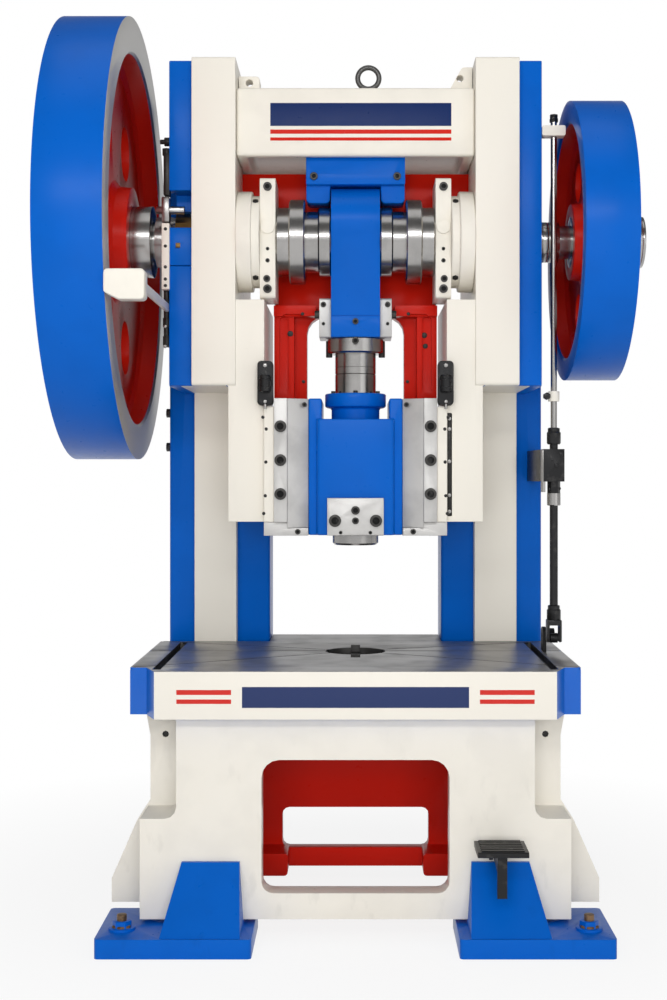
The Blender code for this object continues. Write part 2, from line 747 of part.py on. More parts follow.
def crown_beam():
    """Beam across the columns, with a notch behind its front plate."""
    section = [(-CROWN_FRONT, CROWN_LOW), (CROWN_DEPTH, CROWN_LOW), (CROWN_DEPTH, CROWN_TOP),
               (-CROWN_FRONT, CROWN_TOP)]
    beam = prism("crown_beam", filleted(section, [SMALL_ROUND, 0, 0, SMALL_ROUND]), "X",
                 -HEAD_INNER + GAP, HEAD_INNER - GAP)
    arch = [(-HEAD_INNER, CROWN_LOW - CUT), (-HEAD_INNER + CROWN_CORNER, CROWN_LOW - CUT),
            (-HEAD_INNER + CROWN_CORNER, CROWN_LOW + CROWN_RISE),
            (HEAD_INNER - CROWN_CORNER, CROWN_LOW + CROWN_RISE),
            (HEAD_INNER - CROWN_CORNER, CROWN_LOW - CUT)]
    recess = prism("recess", filleted(arch[1:], [0, CROWN_CORNER / 2, CROWN_CORNER / 2, 0]), "Y",
                   -CROWN_FRONT + CROWN_PLATE, CROWN_DEPTH - CROWN_PLATE)
    cut(beam, recess)
    return paint(beam, CREAM)


def crown_bracket():
    """Blue block bolted under the crown, over the pitman's top, with recessed ears."""
    block = prism("crown_bracket", rect(-CAP_HALF, CAP_HALF, CAP_LOW, CAP_TOP), "Y", -CAP_FRONT, CAP_BACK)
    for side in (-1, 1):
        inner, outer = sorted((side * (PITMAN_HALF + EAR_CLEAR), side * CAP_HALF))
        ear = prism("ear", filleted(rect(inner, outer, EAR_LOW, CAP_LOW + BED_SINK),
                                    [EAR_ROUND, EAR_ROUND, 0, 0]), "Y", -EAR_FRONT, CAP_BACK - CUT)
        screw = screw_head("Y", -CAP_FRONT, -1, side * (CAP_HALF - EAR_SCREW_INSET),
                             CAP_LOW + EAR_SCREW_INSET, EAR_SCREW, EAR_SCREW_HEAD)
        join(block, ear, screw)
    return paint(block, BLUE)


def slide_casting():
    """Red casting behind the mechanism: a wall, a shelf and an arch whose ribs back the guides."""
    outline = [(-RED_ARCH_HALF, RED_LOW), (-RED_ARCH_HALF, RED_ARCH_TOP), (RED_ARCH_HALF, RED_ARCH_TOP),
               (RED_ARCH_HALF, RED_LOW), (RED_HALF, RED_LOW), (RED_HALF, RED_SHOULDER),
               (HEAD_INNER - GAP, RED_SHOULDER), (HEAD_INNER - GAP, RED_TOP),
               (-HEAD_INNER + GAP, RED_TOP), (-HEAD_INNER + GAP, RED_SHOULDER),
               (-RED_HALF, RED_SHOULDER), (-RED_HALF, RED_LOW)]
    radii = [0, RED_ARCH_RADIUS, RED_ARCH_RADIUS]
    radii += [0] * (len(outline) - len(radii))
    wall = prism("slide_casting", filleted(outline, radii, WIDE_CORNER_STEPS), "Y", RED_FRONT, RED_BACK)
    for side in (-1, 1):
        inner, outer = sorted((side * RED_RIB_INNER, side * RED_HALF))
        rib = prism("rib", rect(inner, outer, RED_LOW, RED_SHELF), "Y", RED_RIB_FRONT, RED_FRONT + BED_SINK)
        dish_in, dish_out = sorted((side * (RED_RIB_INNER + RED_WALL / 2), side * (RED_HALF - RED_WALL / 2)))
        dish = prism("dish", filleted(rect(dish_in, dish_out, RED_LOW + RED_WALL, RED_SHELF - RED_WALL),
                                      SMALL_ROUND), "Y", RED_RIB_FRONT - CUT, RED_RIB_FRONT + RED_DISH)
        shelf_in, shelf_out = sorted((side * RED_SHELF_INNER, side * RED_HALF))
        shelf = prism("shelf", rect(shelf_in, shelf_out, RED_SHELF - RED_SHELF_THICK, RED_SHELF), "Y",
                      RED_SHELF_FRONT, RED_FRONT + BED_SINK)
        join(wall, cut(rib, dish), shelf)
    return paint(wall, RED)


def bearing_flange(name):
    """Cream flange on the head with the bearing's stepped ring."""
    hole = JOURNAL_RADIUS + RUN_GAP
    profile = [(RING_IN + GAP, RING_RADIUS), (RING_OUT, RING_RADIUS), (RING_OUT, FLANGE_RADIUS),
               (HEAD_INNER - GAP, FLANGE_RADIUS)]
    flange = turned(name, profile, "X", (0, 0, CRANK_Z))
    cut(flange, rod("bore", "X", RING_IN - CUT, HEAD_INNER + CUT, hole, (0, 0, CRANK_Z)))
    return paint(smooth(flange), CREAM)


def bearing_cap(name):
    """Cream clamp bar across the bearing, with a boss in the middle and screws at its ends."""
    outline = rect(-CLAMP_HALF_DEPTH, CLAMP_HALF_DEPTH, CRANK_Z - CLAMP_HALF_HEIGHT,
                   CRANK_Z + CLAMP_HALF_HEIGHT)
    bar = prism(name, filleted(outline, SMALL_ROUND), "X", STEP_OUT + GAP, RING_IN)
    middle = (STEP_OUT + RING_IN) / 2
    boss = rod("boss", "Y", -CLAMP_HALF_DEPTH - CLAMP_BOSS_RISE, CUT - CLAMP_HALF_DEPTH, CLAMP_BOSS_RADIUS,
               (middle, 0, CRANK_Z + CLAMP_BOSS))
    join(bar, boss)
    hole = rod("bore", "X", STEP_OUT - CUT, RING_IN + CUT, JOURNAL_RADIUS + RUN_GAP, (0, 0, CRANK_Z))
    cut(bar, hole)
    for height in (-CLAMP_SCREW_RISE, CLAMP_SCREW_RISE):
        join(bar, screw_head("Y", -CLAMP_HALF_DEPTH, -1, middle, CRANK_Z + height, CLAMP_SCREW,
                               CLAMP_SCREW_HEAD))
    return paint(bar, CREAM)


def main_bush(name):
    """Bronze bush of the crankshaft in the column."""
    outer = JOURNAL_RADIUS + BUSH_WALL
    bush = rod(name, "X", HEAD_INNER + GAP, BUSH_OUT, outer, (0, 0, CRANK_Z))
    cut(bush, rod("bore", "X", HEAD_INNER - CUT, BUSH_OUT + CUT, JOURNAL_RADIUS + RUN_GAP, (0, 0, CRANK_Z)))
    return paint(smooth(bush), BRONZE)


def crankshaft():
    """Turned shaft with webs, discs and journals each side of the offset crank pin."""
    right = [(WEB_IN, WEB_RADIUS), (WEB_OUT, WEB_RADIUS), (WEB_OUT, NECK_RADIUS), (NECK_OUT, NECK_RADIUS),
             (NECK_OUT, DISC_RADIUS), (DISC_OUT, DISC_RADIUS), (DISC_OUT, STEP_RADIUS),
             (STEP_OUT, STEP_RADIUS), (STEP_OUT, JOURNAL_RADIUS)]
    drive_end = [(HEAD_OUTER + THRUST_GAP, JOURNAL_RADIUS), (HEAD_OUTER + THRUST_GAP, SHAFT_RADIUS),
                 (DRIVE_HUB_OUT - HUB_LIP, SHAFT_RADIUS)]
    wheel_end = [(HUB_INNER - HUB_LIP, JOURNAL_RADIUS), (HUB_INNER - HUB_LIP, WHEEL_SHAFT),
                 (DRIVE_HUB_OUT - HUB_LIP, WHEEL_SHAFT)]
    centre = (0, 0, CRANK_Z)
    shaft = turned("crankshaft", right + drive_end, "X", centre)
    left = turned("left", [(-x, r) for x, r in right + wheel_end], "X", centre)
    pin = rod("pin", "X", -WEB_IN - BED_SINK, WEB_IN + BED_SINK, PIN_RADIUS, (0, 0, CRANK_Z + ECCENTRIC))
    join(shaft, pin, left)
    smooth(shaft)
    pivot_on(shaft, (0, 0, CRANK_Z))
    return paint(shaft, STEEL)


def eccentric_sleeve(parent):
    """Bronze eccentric sleeve between the crank pin and the pitman."""
    half = PITMAN_HALF - GAP
    sleeve = rod("eccentric_sleeve", "X", -half, half, SLEEVE_RADIUS, (0, 0, PIN_Z))
    hole = rod("bore", "X", -half - CUT, half + CUT, PIN_RADIUS + RUN_GAP, (0, 0, CRANK_Z + ECCENTRIC))
    cut(sleeve, hole)
    smooth(sleeve)
    pivot_on(sleeve, (0, 0, CRANK_Z + ECCENTRIC), parent)
    return paint(sleeve, BRONZE)


def pitman(parent):
    """Blue pitman: a round big end that runs down into a square stem bored for the screw."""
    arc_start = math.asin(PITMAN_DEPTH_HALF / BIG_END_RADIUS)
    outline = [(-PITMAN_DEPTH_HALF, PITMAN_LOW), (PITMAN_DEPTH_HALF, PITMAN_LOW)]
    sweep = math.tau - 2 * arc_start
    for step in range(ROUND_STEPS + 1):
        angle = -math.pi / 2 + arc_start + sweep * step / ROUND_STEPS
        outline.append((BIG_END_RADIUS * math.cos(angle), PIN_Z + BIG_END_RADIUS * math.sin(angle)))
    body = prism("pitman", outline, "X", -PITMAN_HALF, PITMAN_HALF)
    eye = rod("eye", "X", -PITMAN_HALF - CUT, PITMAN_HALF + CUT, SLEEVE_RADIUS + RUN_GAP, (0, 0, PIN_Z))
    thread = rod("thread", "Z", PITMAN_LOW - CUT, PITMAN_BORE_TOP, SCREW_RADIUS + RUN_GAP)
    joint = prism("joint", rect(-PITMAN_DEPTH_HALF - CUT, -PITMAN_DEPTH_HALF + JOINT_GROOVE,
                                PITMAN_JOINT, PITMAN_JOINT + JOINT_GROOVE), "X",
                  -PITMAN_HALF - CUT, PITMAN_HALF + CUT)
    cut(body, eye, thread, joint)
    join(body, screw_head("Y", -PITMAN_DEPTH_HALF, -1, 0, PITMAN_JOINT - PITMAN_SCREW_DROP, PITMAN_SCREW,
                            PITMAN_SCREW / 2))
    smooth(body)
    pivot_on(body, (0, 0, PIN_Z), parent)
    return paint(body, BLUE)


def clamp_plate(name, side, parent):
    """Steel plate on the pitman's flank, with a bolt that pulls it in."""
    inner, outer = sorted((side * (PITMAN_HALF + GAP), side * (PITMAN_HALF + CLAMP_PLATE_THICK)))
    plate = prism(name, filleted(rect(-CLAMP_PLATE_HALF, CLAMP_PLATE_HALF, PITMAN_LOW, CLAMP_PLATE_TOP),
                                 SMALL_ROUND / 2), "X", inner, outer)
    face = side * (PITMAN_HALF + CLAMP_PLATE_THICK)
    join(plate, screw_head("X", face, side, -CLAMP_PLATE_HALF / 2, PITMAN_JOINT + SMALL_ROUND,
                             PLATE_BOLT, PLATE_BOLT))
    pivot_on(plate, (0, 0, PIN_Z), parent)
    return paint(plate, BRIGHT_STEEL)


def lock_collar(parent):
    """Split steel collar under the pitman, that locks the screw."""
    collar = rod("lock_collar", "Z", COLLAR_LOW, PITMAN_LOW - GAP, COLLAR_RADIUS)
    cut(collar, rod("bore", "Z", COLLAR_LOW - CUT, PITMAN_LOW + CUT, SCREW_RADIUS + RUN_GAP))
    smooth(collar)
    for side in (-1, 1):
        lug = rod("bolt", "Z", COLLAR_LOW - COLLAR_BOLT, PITMAN_LOW - SMALL_ROUND, COLLAR_BOLT,
                  (side * (COLLAR_RADIUS - COLLAR_BOLT / 2), 0, 0), SMALL_STEPS)
        join(collar, lug)
    screw = screw_head("Y", -COLLAR_RADIUS, -1, 0, (COLLAR_LOW + PITMAN_LOW) / 2, COLLAR_BOLT, COLLAR_BOLT)
    join(collar, screw)
    pivot_on(collar, (0, 0, PIN_Z), parent)
    return paint(collar, STEEL)


def adjusting_screw(parent):
    """Ball-ended screw that sets the height of the ram."""
    profile = []
    for step in range(1, BALL_STEPS + 1):
        angle = math.pi / 2 * step / BALL_STEPS
        profile.append((BALL_CENTRE - SCREW_RADIUS * math.cos(angle), SCREW_RADIUS * math.sin(angle)))
    groove = COLLAR_LOW - SCREW_GROOVE_DROP
    profile += [(groove, SCREW_RADIUS), (groove, SCREW_RADIUS - SCREW_GROOVE),
                (groove + SCREW_GROOVE, SCREW_RADIUS - SCREW_GROOVE), (groove + SCREW_GROOVE, SCREW_RADIUS),
                (SCREW_TOP, SCREW_RADIUS)]
    screw = smooth(turned("adjusting_screw", profile, "Z"))
    pivot_on(screw, (0, 0, BALL_CENTRE), parent)
    return paint(screw, BRIGHT_STEEL)


def ball_retainer(parent):
    """Blue flanged ring that holds the screw's ball in the ram."""
    profile = [(RAM_FACE_TOP + GAP, RETAINER_NECK), (RETAINER_TOP - RETAINER_FLANGE, RETAINER_NECK),
               (RETAINER_TOP - RETAINER_FLANGE + SCREW_GROOVE, RETAINER_RADIUS),
               (RETAINER_TOP, RETAINER_RADIUS)]
    ring = turned("ball_retainer", profile, "Z")
    cut(ring, rod("bore", "Z", RAM_FACE_TOP - CUT, RETAINER_TOP + CUT, SCREW_RADIUS + RUN_GAP))
    smooth(ring)
    for index in range(RETAINER_SCREWS):
        angle = math.tau * (index + 1 / 2) / RETAINER_SCREWS
        reach = (SCREW_RADIUS + RETAINER_RADIUS) / 2
        join(ring, screw_head("Z", RETAINER_TOP, 1, reach * math.cos(angle), reach * math.sin(angle),
                                RETAINER_SCREW, RETAINER_SCREW))
    pivot_on(ring, (0, 0, RAM_LOW), parent)
    return paint(ring, BLUE)


def ram(parent):
    """Blue ram: a body with a raised front panel, ears at its top and a seat for the ball."""
    side_front = RAM_FRONT - RAM_PANEL_STEP
    outline = filleted(rect(-RAM_HALF, RAM_HALF, -side_front, RAM_BACK), [RAM_EDGE, RAM_EDGE, 0, 0])
    body = prism("ram", outline, "Z", RAM_LOW, RAM_EAR_TOP)
    crest = prism("crest", rect(-RAM_EAR_INNER, RAM_EAR_INNER, -RAM_FRONT - CUT, RAM_BACK + CUT), "Z",
                  RAM_FACE_TOP, RAM_EAR_TOP + CUT)
    cut(body, crest)
    face = rect(-RAM_PANEL_HALF, RAM_PANEL_HALF, -RAM_FRONT, -side_front + RAM_PANEL_STEP)
    panel = prism("panel", filleted(face, [SMALL_ROUND, SMALL_ROUND, 0, 0]), "Z", RAM_LOW, RAM_FACE_TOP)
    join(body, panel)
    profile = []
    reach = SCREW_RADIUS + RUN_GAP
    for step in range(1, BALL_STEPS + 1):
        angle = math.pi / 2 * step / BALL_STEPS
        profile.append((BALL_CENTRE - reach * math.cos(angle) - GAP, reach * math.sin(angle)))
    seat = turned("seat", profile + [(RAM_FACE_TOP + CUT, reach)], "Z")
    cut(body, seat)
    smooth(body)
    pivot_on(body, (0, 0, RAM_LOW), parent)
    return paint(body, BLUE)


def shank_block(parent):
    """Steel clamp on the ram's front that grips the tool shank."""
    front = RAM_FRONT + GAP + SHANK_BLOCK_THICK
    block = prism("shank_block", rect(-SHANK_BLOCK_HALF, SHANK_BLOCK_HALF, RAM_LOW, SHANK_BLOCK_TOP), "Y",
                  -front, -RAM_FRONT - GAP)
    height = RAM_LOW + SHANK_SCREW_RISE
    places = [(-SHANK_SCREW_X, height, SHANK_SCREW_RADIUS), (SHANK_SCREW_X, height, SHANK_SCREW_RADIUS),
              (0, height + SHANK_SCREW_RISE * SHANK_RISE_SHARE, SHANK_SCREW_SMALL),
              (0, height, SHANK_SCREW_SMALL * SHANK_SMALL_SHARE)]
    for x, z, radius in places:
        join(block, screw_head("Y", -front, -1, x, z, radius, radius / 2))
    pivot_on(block, (0, 0, RAM_LOW), parent)
    return paint(block, BRIGHT_STEEL)


def tool_disc(parent):
    """Steel disc under the ram that takes the tool's shank."""
    top = RAM_LOW - GAP
    disc = rod("tool_disc", "Z", top - TOOL_DISC_THICK, top, TOOL_DISC_RADIUS)
    roof = top - TOOL_DISC_THICK * TOOL_ROOF_SHARE
    cut(disc, rod("bore", "Z", top - TOOL_DISC_THICK - CUT, roof, TOOL_BORE))
    smooth(disc)
    pivot_on(disc, (0, 0, RAM_LOW), parent)
    return paint(disc, STEEL)


def gib(name):
    """Steel gib beside the ram, its front face sloped."""
    outline = [(GIB_INNER, -GIB_BACK), (GIB_OUTER, -GIB_FRONT), (GIB_OUTER, GIB_BACK), (GIB_INNER, GIB_BACK)]
    made = prism(name, outline, "Z", GIB_LOW, GIB_TOP)
    return paint(made, BRIGHT_STEEL)


def gib_strip(name):
    """Clamp strip that holds the gib, with three cap screws."""
    outline = rect(GIB_OUTER + GAP, STRIP_OUTER, -STRIP_FRONT, -STRIP_BACK)
    strip = prism(name, outline, "Z", GUIDE_LOW, GIB_TOP)
    middle = (GIB_OUTER + STRIP_OUTER) / 2
    centre = (GUIDE_LOW + GIB_TOP) / 2
    for turn in (-1, 0, 1):
        join(strip, screw_head("Y", -STRIP_FRONT, -1, middle, centre + turn * GIB_SCREW_PITCH,
                                 GIB_SCREW_RADIUS, GIB_SCREW_HEAD))
    return paint(strip, BRIGHT_STEEL)


def gib_guide(name):
    """Cream guide block that carries the gib and its strip on the column's arm."""
    outline = [(STRIP_OUTER + GAP, -GUIDE_FRONT), (GUIDE_OUTER, -GUIDE_FRONT), (GUIDE_OUTER, GIB_BACK),
               (GIB_OUTER + GAP, GIB_BACK), (GIB_OUTER + GAP, -STRIP_BACK + GAP),
               (STRIP_OUTER + GAP, -STRIP_BACK + GAP)]
    return paint(prism(name, outline, "Z", GUIDE_LOW, GUIDE_TOP), CREAM)


def gib_shoe(name):
    """Steel shoe under the gib and its guide."""
    outline = [(GIB_INNER, GIB_SHOE_LOW), (GUIDE_OUTER, GIB_SHOE_LOW), (GUIDE_OUTER, GUIDE_LOW - GAP),
               (GIB_OUTER + GAP, GUIDE_LOW - GAP), (GIB_OUTER + GAP, GIB_LOW - GAP),
               (GIB_INNER, GIB_LOW - GAP)]
    shoe = prism(name, outline, "Y", -GIB_SHOE_FRONT, GIB_BACK)
    middle = (GIB_INNER + GIB_OUTER) / 2
    join(shoe, screw_head("Y", -GIB_SHOE_FRONT, -1, middle, GIB_SHOE_LOW + SHOE_SCREW_RISE, SHOE_SCREW,
                            SHOE_SCREW))
    return paint(shoe, STEEL)


def oil_box(name):
    """Black housing above the guide, on the column's arm."""
    box = prism(name, filleted(rect(OIL_INNER, OIL_OUTER, OIL_LOW, OIL_TOP), SMALL_ROUND), "Y",
                -OIL_FRONT, -ARM_FRONT - GAP)
    drum = rod("drum", "Y", -OIL_FRONT - OIL_DRUM_RISE, -ARM_FRONT - SMALL_ROUND, OIL_DRUM,
               ((OIL_INNER + OIL_OUTER) / 2, 0, (OIL_LOW + OIL_TOP) / 2))
    return paint(join(box, drum), DARK_STEEL)


def wheel(name, side, sizes, centre):
    """Cast wheel: rim with a lip, a dished web with lightening holes, and a bored boss."""
    inner, width, radius, rim, web, inset, boss, hole, circle, holes, bore = sizes
    outer = inner + width
    web_in = inner + inset
    body = rod(name, "X", *sorted((side * inner, side * outer)), radius, centre, WHEEL_STEPS)
    for low, high in ((inner - CUT, web_in), (web_in + web, outer + CUT)):
        ends = sorted((side * low, side * high))
        body = cut(body, rod("dish", "X", *ends, radius - rim, centre, WHEEL_STEPS))
    hub = rod("hub", "X", *sorted((side * (inner + BOSS_BACK), side * (outer - BOSS_BACK))), boss, centre)
    join(body, hub)
    through = sorted((side * (inner - CUT), side * (outer + CUT)))
    for index in range(holes):
        angle = math.tau * index / holes
        spot = (0, circle * math.cos(angle), centre[2] + circle * math.sin(angle))
        cut(body, rod("hole", "X", *through, hole, spot, HOLE_STEPS))
    cut(body, rod("bore", "X", *through, bore, centre))
    return smooth(body)


def flywheel():
    """Large flywheel on the left, free to turn on its hub."""
    sizes = (WHEEL_INNER, WHEEL_WIDTH, WHEEL_RADIUS, WHEEL_RIM, WHEEL_WEB, WHEEL_WEB_INSET,
             WHEEL_BOSS_RADIUS, WHEEL_HOLE_RADIUS, WHEEL_HOLE_CIRCLE, WHEEL_HOLES, HUB_RADIUS + RUN_GAP)
    made = wheel("flywheel", -1, sizes, (0, 0, CRANK_Z))
    pivot_on(made, (0, 0, CRANK_Z))
    return paint(made, BLUE)


def flywheel_hub(parent):
    """Steel hub keyed to the shaft, on which the flywheel turns."""
    outer = DRIVE_HUB_OUT
    hub = rod("flywheel_hub", "X", -outer, -HUB_INNER, HUB_RADIUS, (0, 0, CRANK_Z))
    cut(hub, rod("bore", "X", -outer - CUT, -HUB_INNER + CUT, WHEEL_SHAFT + GAP, (0, 0, CRANK_Z)))
    smooth(hub)
    pivot_on(hub, (0, 0, CRANK_Z), parent)
    return paint(hub, STEEL)


def balance_wheel(parent):
    """Smaller wheel keyed to the right-hand end of the shaft."""
    sizes = (DRIVE_INNER, DRIVE_WIDTH, DRIVE_RADIUS, DRIVE_RIM, DRIVE_WEB, DRIVE_WEB_INSET,
             DRIVE_BOSS_RADIUS, DRIVE_HOLE_RADIUS, DRIVE_HOLE_CIRCLE, WHEEL_HOLES, DRIVE_HUB_RADIUS + GAP)
    made = wheel("balance_wheel", 1, sizes, (0, 0, CRANK_Z))
    pivot_on(made, (0, 0, CRANK_Z), parent)
    return paint(made, BLUE)


def balance_hub(parent):
    """Steel hub of the balance wheel, standing proud of its outer face."""
    hub = rod("balance_hub", "X", DRIVE_INNER + BOSS_BACK, DRIVE_HUB_OUT, DRIVE_HUB_RADIUS, (0, 0, CRANK_Z))
    cut(hub, rod("bore", "X", DRIVE_INNER, DRIVE_HUB_OUT + CUT, SHAFT_RADIUS + GAP, (0, 0, CRANK_Z)))
    smooth(hub)
    pivot_on(hub, (0, 0, CRANK_Z), parent)
    return paint(hub, STEEL)


def thrust_collar(parent):
    """Steel collar on the shaft between the column and the balance wheel."""
    start = HEAD_OUTER + THRUST_GAP + GAP
    collar = rod("thrust_collar", "X", start, start + THRUST_WIDTH, THRUST_RADIUS, (0, 0, CRANK_Z))
    end = start + THRUST_WIDTH
    cut(collar, rod("bore", "X", start - CUT, end + CUT, SHAFT_RADIUS + GAP, (0, 0, CRANK_Z)))
    smooth(collar)
    pivot_on(collar, (0, 0, CRANK_Z), parent)
    return paint(collar, STEEL)


def rod_arm():
    """Cream arm that guides the top of the operating rod."""
    outline = rect(HEAD_OUTER + GAP, ROD_X + ROD_ARM_REACH, ARM_Z, ARM_Z + ARM_THICK)
    outline = filleted(outline, SMALL_ROUND / 2)
    arm = prism("rod_arm", outline, "Y", -ROD_Y - ROD_ARM_HALF, -ROD_Y + ROD_ARM_HALF)
    cut(arm, rod("bore", "Z", ARM_Z - CUT, ARM_Z + ARM_THICK + CUT, ROD_THIN_RADIUS + GAP,
                 (ROD_X, -ROD_Y, 0)))
    return paint(arm, CREAM)


def rod_block():
    """Dark guide block for the middle of the operating rod, seated on the column's flank."""
    block = prism("rod_block", rect(HEAD_OUTER + BLOCK_SEAT + GAP, ROD_X + BLOCK_HALF, BLOCK_LOW, BLOCK_TOP),
                  "Y", -ROD_Y - BLOCK_HALF, -ROD_Y + BLOCK_HALF)
    web = prism("web", rect(HEAD_OUTER + BLOCK_SEAT + GAP, LEG_OUTER - SMALL_ROUND, BLOCK_LOW, BLOCK_TOP),
                "Y", -ROD_Y, LEG_FRONT - GAP)
    hex_seat = rod("hex", "Z", BLOCK_LOW - GUIDE_HEX_LENGTH, BLOCK_LOW + GUIDE_SEAT, GUIDE_HEX,
                   (ROD_X, -ROD_Y, 0), HEX_SIDES)
    join(block, web, hex_seat)
    cut(block, rod("bore", "Z", BLOCK_LOW - GUIDE_HEX_LENGTH - CUT, BLOCK_TOP + CUT, ROD_RADIUS + GAP,
                   (ROD_X, -ROD_Y, 0)))
    join(block, screw_head("Y", -ROD_Y - BLOCK_HALF, -1, ROD_X + PEDAL_EAR / 2, (BLOCK_LOW + BLOCK_TOP) / 2,
                             SHOE_SCREW, SHOE_SCREW / 2))
    return paint(block, DARK_STEEL)


def operating_rod():
    """Black operating rod with its couplings; it slides down when the pedal is pressed."""
    profile = [(ROD_LOW, ROD_RADIUS), (ROD_LOW, COUPLER_RADIUS), (ROD_LOW + COUPLER_LENGTH, COUPLER_RADIUS),
               (ROD_LOW + COUPLER_LENGTH, ROD_RADIUS), (ROD_JOINT_LOW + COUPLER_SHIFT, ROD_RADIUS),
               (ROD_JOINT_LOW + COUPLER_SHIFT, COUPLER_RADIUS),
               (ROD_JOINT_LOW + COUPLER_SHIFT + COUPLER_LENGTH, COUPLER_RADIUS),
               (ROD_JOINT_LOW + COUPLER_SHIFT + COUPLER_LENGTH, ROD_THIN_RADIUS),
               (ARM_Z + ARM_THICK + COUPLER_SHIFT, ROD_THIN_RADIUS),
               (ARM_Z + ARM_THICK + COUPLER_SHIFT, ROD_BOLT), (ROD_TOP + COUPLER_SHIFT, ROD_BOLT)]
    bar = turned("operating_rod", profile[1:], "Z", (ROD_X, -ROD_Y, 0))
    cheeks = rect(ROD_X - ROCKER_EYE, ROD_X + ROCKER_EYE, ROD_LOW - FORK_DROP, ROD_LOW + GUIDE_SEAT)
    fork = prism("fork", cheeks, "Y", -ROD_Y - ROCKER_EYE, -ROD_Y + ROCKER_EYE)
    slot = prism("slot", rect(ROD_X - ROCKER_WIDTH - FORK_CLEAR, ROD_X + ROCKER_WIDTH + FORK_CLEAR,
                              ROD_LOW - FORK_DROP - CUT, ROD_LOW - GUIDE_SEAT), "Y",
                 -ROD_Y - ROCKER_EYE - CUT, -ROD_Y + ROCKER_EYE + CUT)
    join(bar, cut(fork, slot))
    smooth(bar)
    pivot_on(bar, (ROD_X, -ROD_Y, ROD_LOW))
    return paint(bar, DARK_STEEL)


def rocker():
    """Rocker arm on a cross shaft that comes out of the leg; its eye rides in the rod's fork."""
    start = (0, -ROD_Y, ROCKER_Z)
    half = ROCKER_WIDTH
    eye = rod("rocker", "X", ROD_X - half, ROD_X + half, ROCKER_RADIUS, start)
    side_face = rect(-ROD_Y, ROCKER_PIVOT_Y, ROCKER_Z - ROCKER_RADIUS / 2, ROCKER_Z + ROCKER_RADIUS / 2)
    arm = prism("arm", side_face, "X", ROD_X - half, ROD_X + half)
    boss = rod("boss", "X", ROD_X - half, ROD_X + half, ROCKER_EYE, (0, ROCKER_PIVOT_Y, ROCKER_Z))
    shaft = rod("shaft", "X", ROD_X - half - CUT / 2, ROD_X + ROCKER_EYE, ROCKER_RADIUS / 2,
                (0, ROCKER_PIVOT_Y, ROCKER_Z))
    join(eye, arm, boss, shaft)
    pivot_on(eye, (ROD_X, ROCKER_PIVOT_Y, ROCKER_Z))
    return paint(eye, DARK_STEEL)


def rocker_bracket():
    """Black bracket on the table that carries the rocker's shaft."""
    low = TABLE_TOP + GAP
    plate_in = ROD_X - ROCKER_WIDTH - FORK_CLEAR * 2 - BRACKET_THICK
    outline = filleted(rect(ROCKER_PIVOT_Y - ROCKER_BEARING, ROCKER_PIVOT_Y + ROCKER_BEARING, low,
                            ROCKER_Z + ROCKER_BEARING), [0, 0, LUG_ROUND, LUG_ROUND])
    plate = prism("rocker_bracket", outline, "X", plate_in, plate_in + BRACKET_THICK)
    cut(plate, rod("bore", "X", plate_in - CUT, plate_in + BRACKET_THICK + CUT, ROCKER_RADIUS / 2 + GAP,
                   (0, ROCKER_PIVOT_Y, ROCKER_Z)))
    return paint(plate, DARK_STEEL)


def brake_shoe():
    """Cream shoe beside the flywheel's rim, on an arm from the left column."""
    outer = WHEEL_INNER - SHOE_GAP
    outline = [(-outer, SHOE_LOW + SHOE_CHAMFER), (-outer + SHOE_CHAMFER * 2, SHOE_LOW),
               (-SHOE_INNER, SHOE_LOW), (-SHOE_INNER, SHOE_TOP), (-outer, SHOE_TOP)]
    shoe = prism("brake_shoe", filleted(outline, SMALL_ROUND), "Y", -SHOE_FRONT, -SHOE_BACK)
    middle = (SHOE_TOP + SHOE_LOW) / 2
    arm = prism("arm", rect(-HEAD_OUTER - SHOE_ARM_THICK, -HEAD_OUTER - GAP, middle - SHOE_ARM_HALF,
                            middle + SHOE_ARM_HALF), "Y", -SHOE_BACK - SMALL_ROUND, HEAD_FRONT - CUT)
    return paint(join(shoe, arm), CREAM)


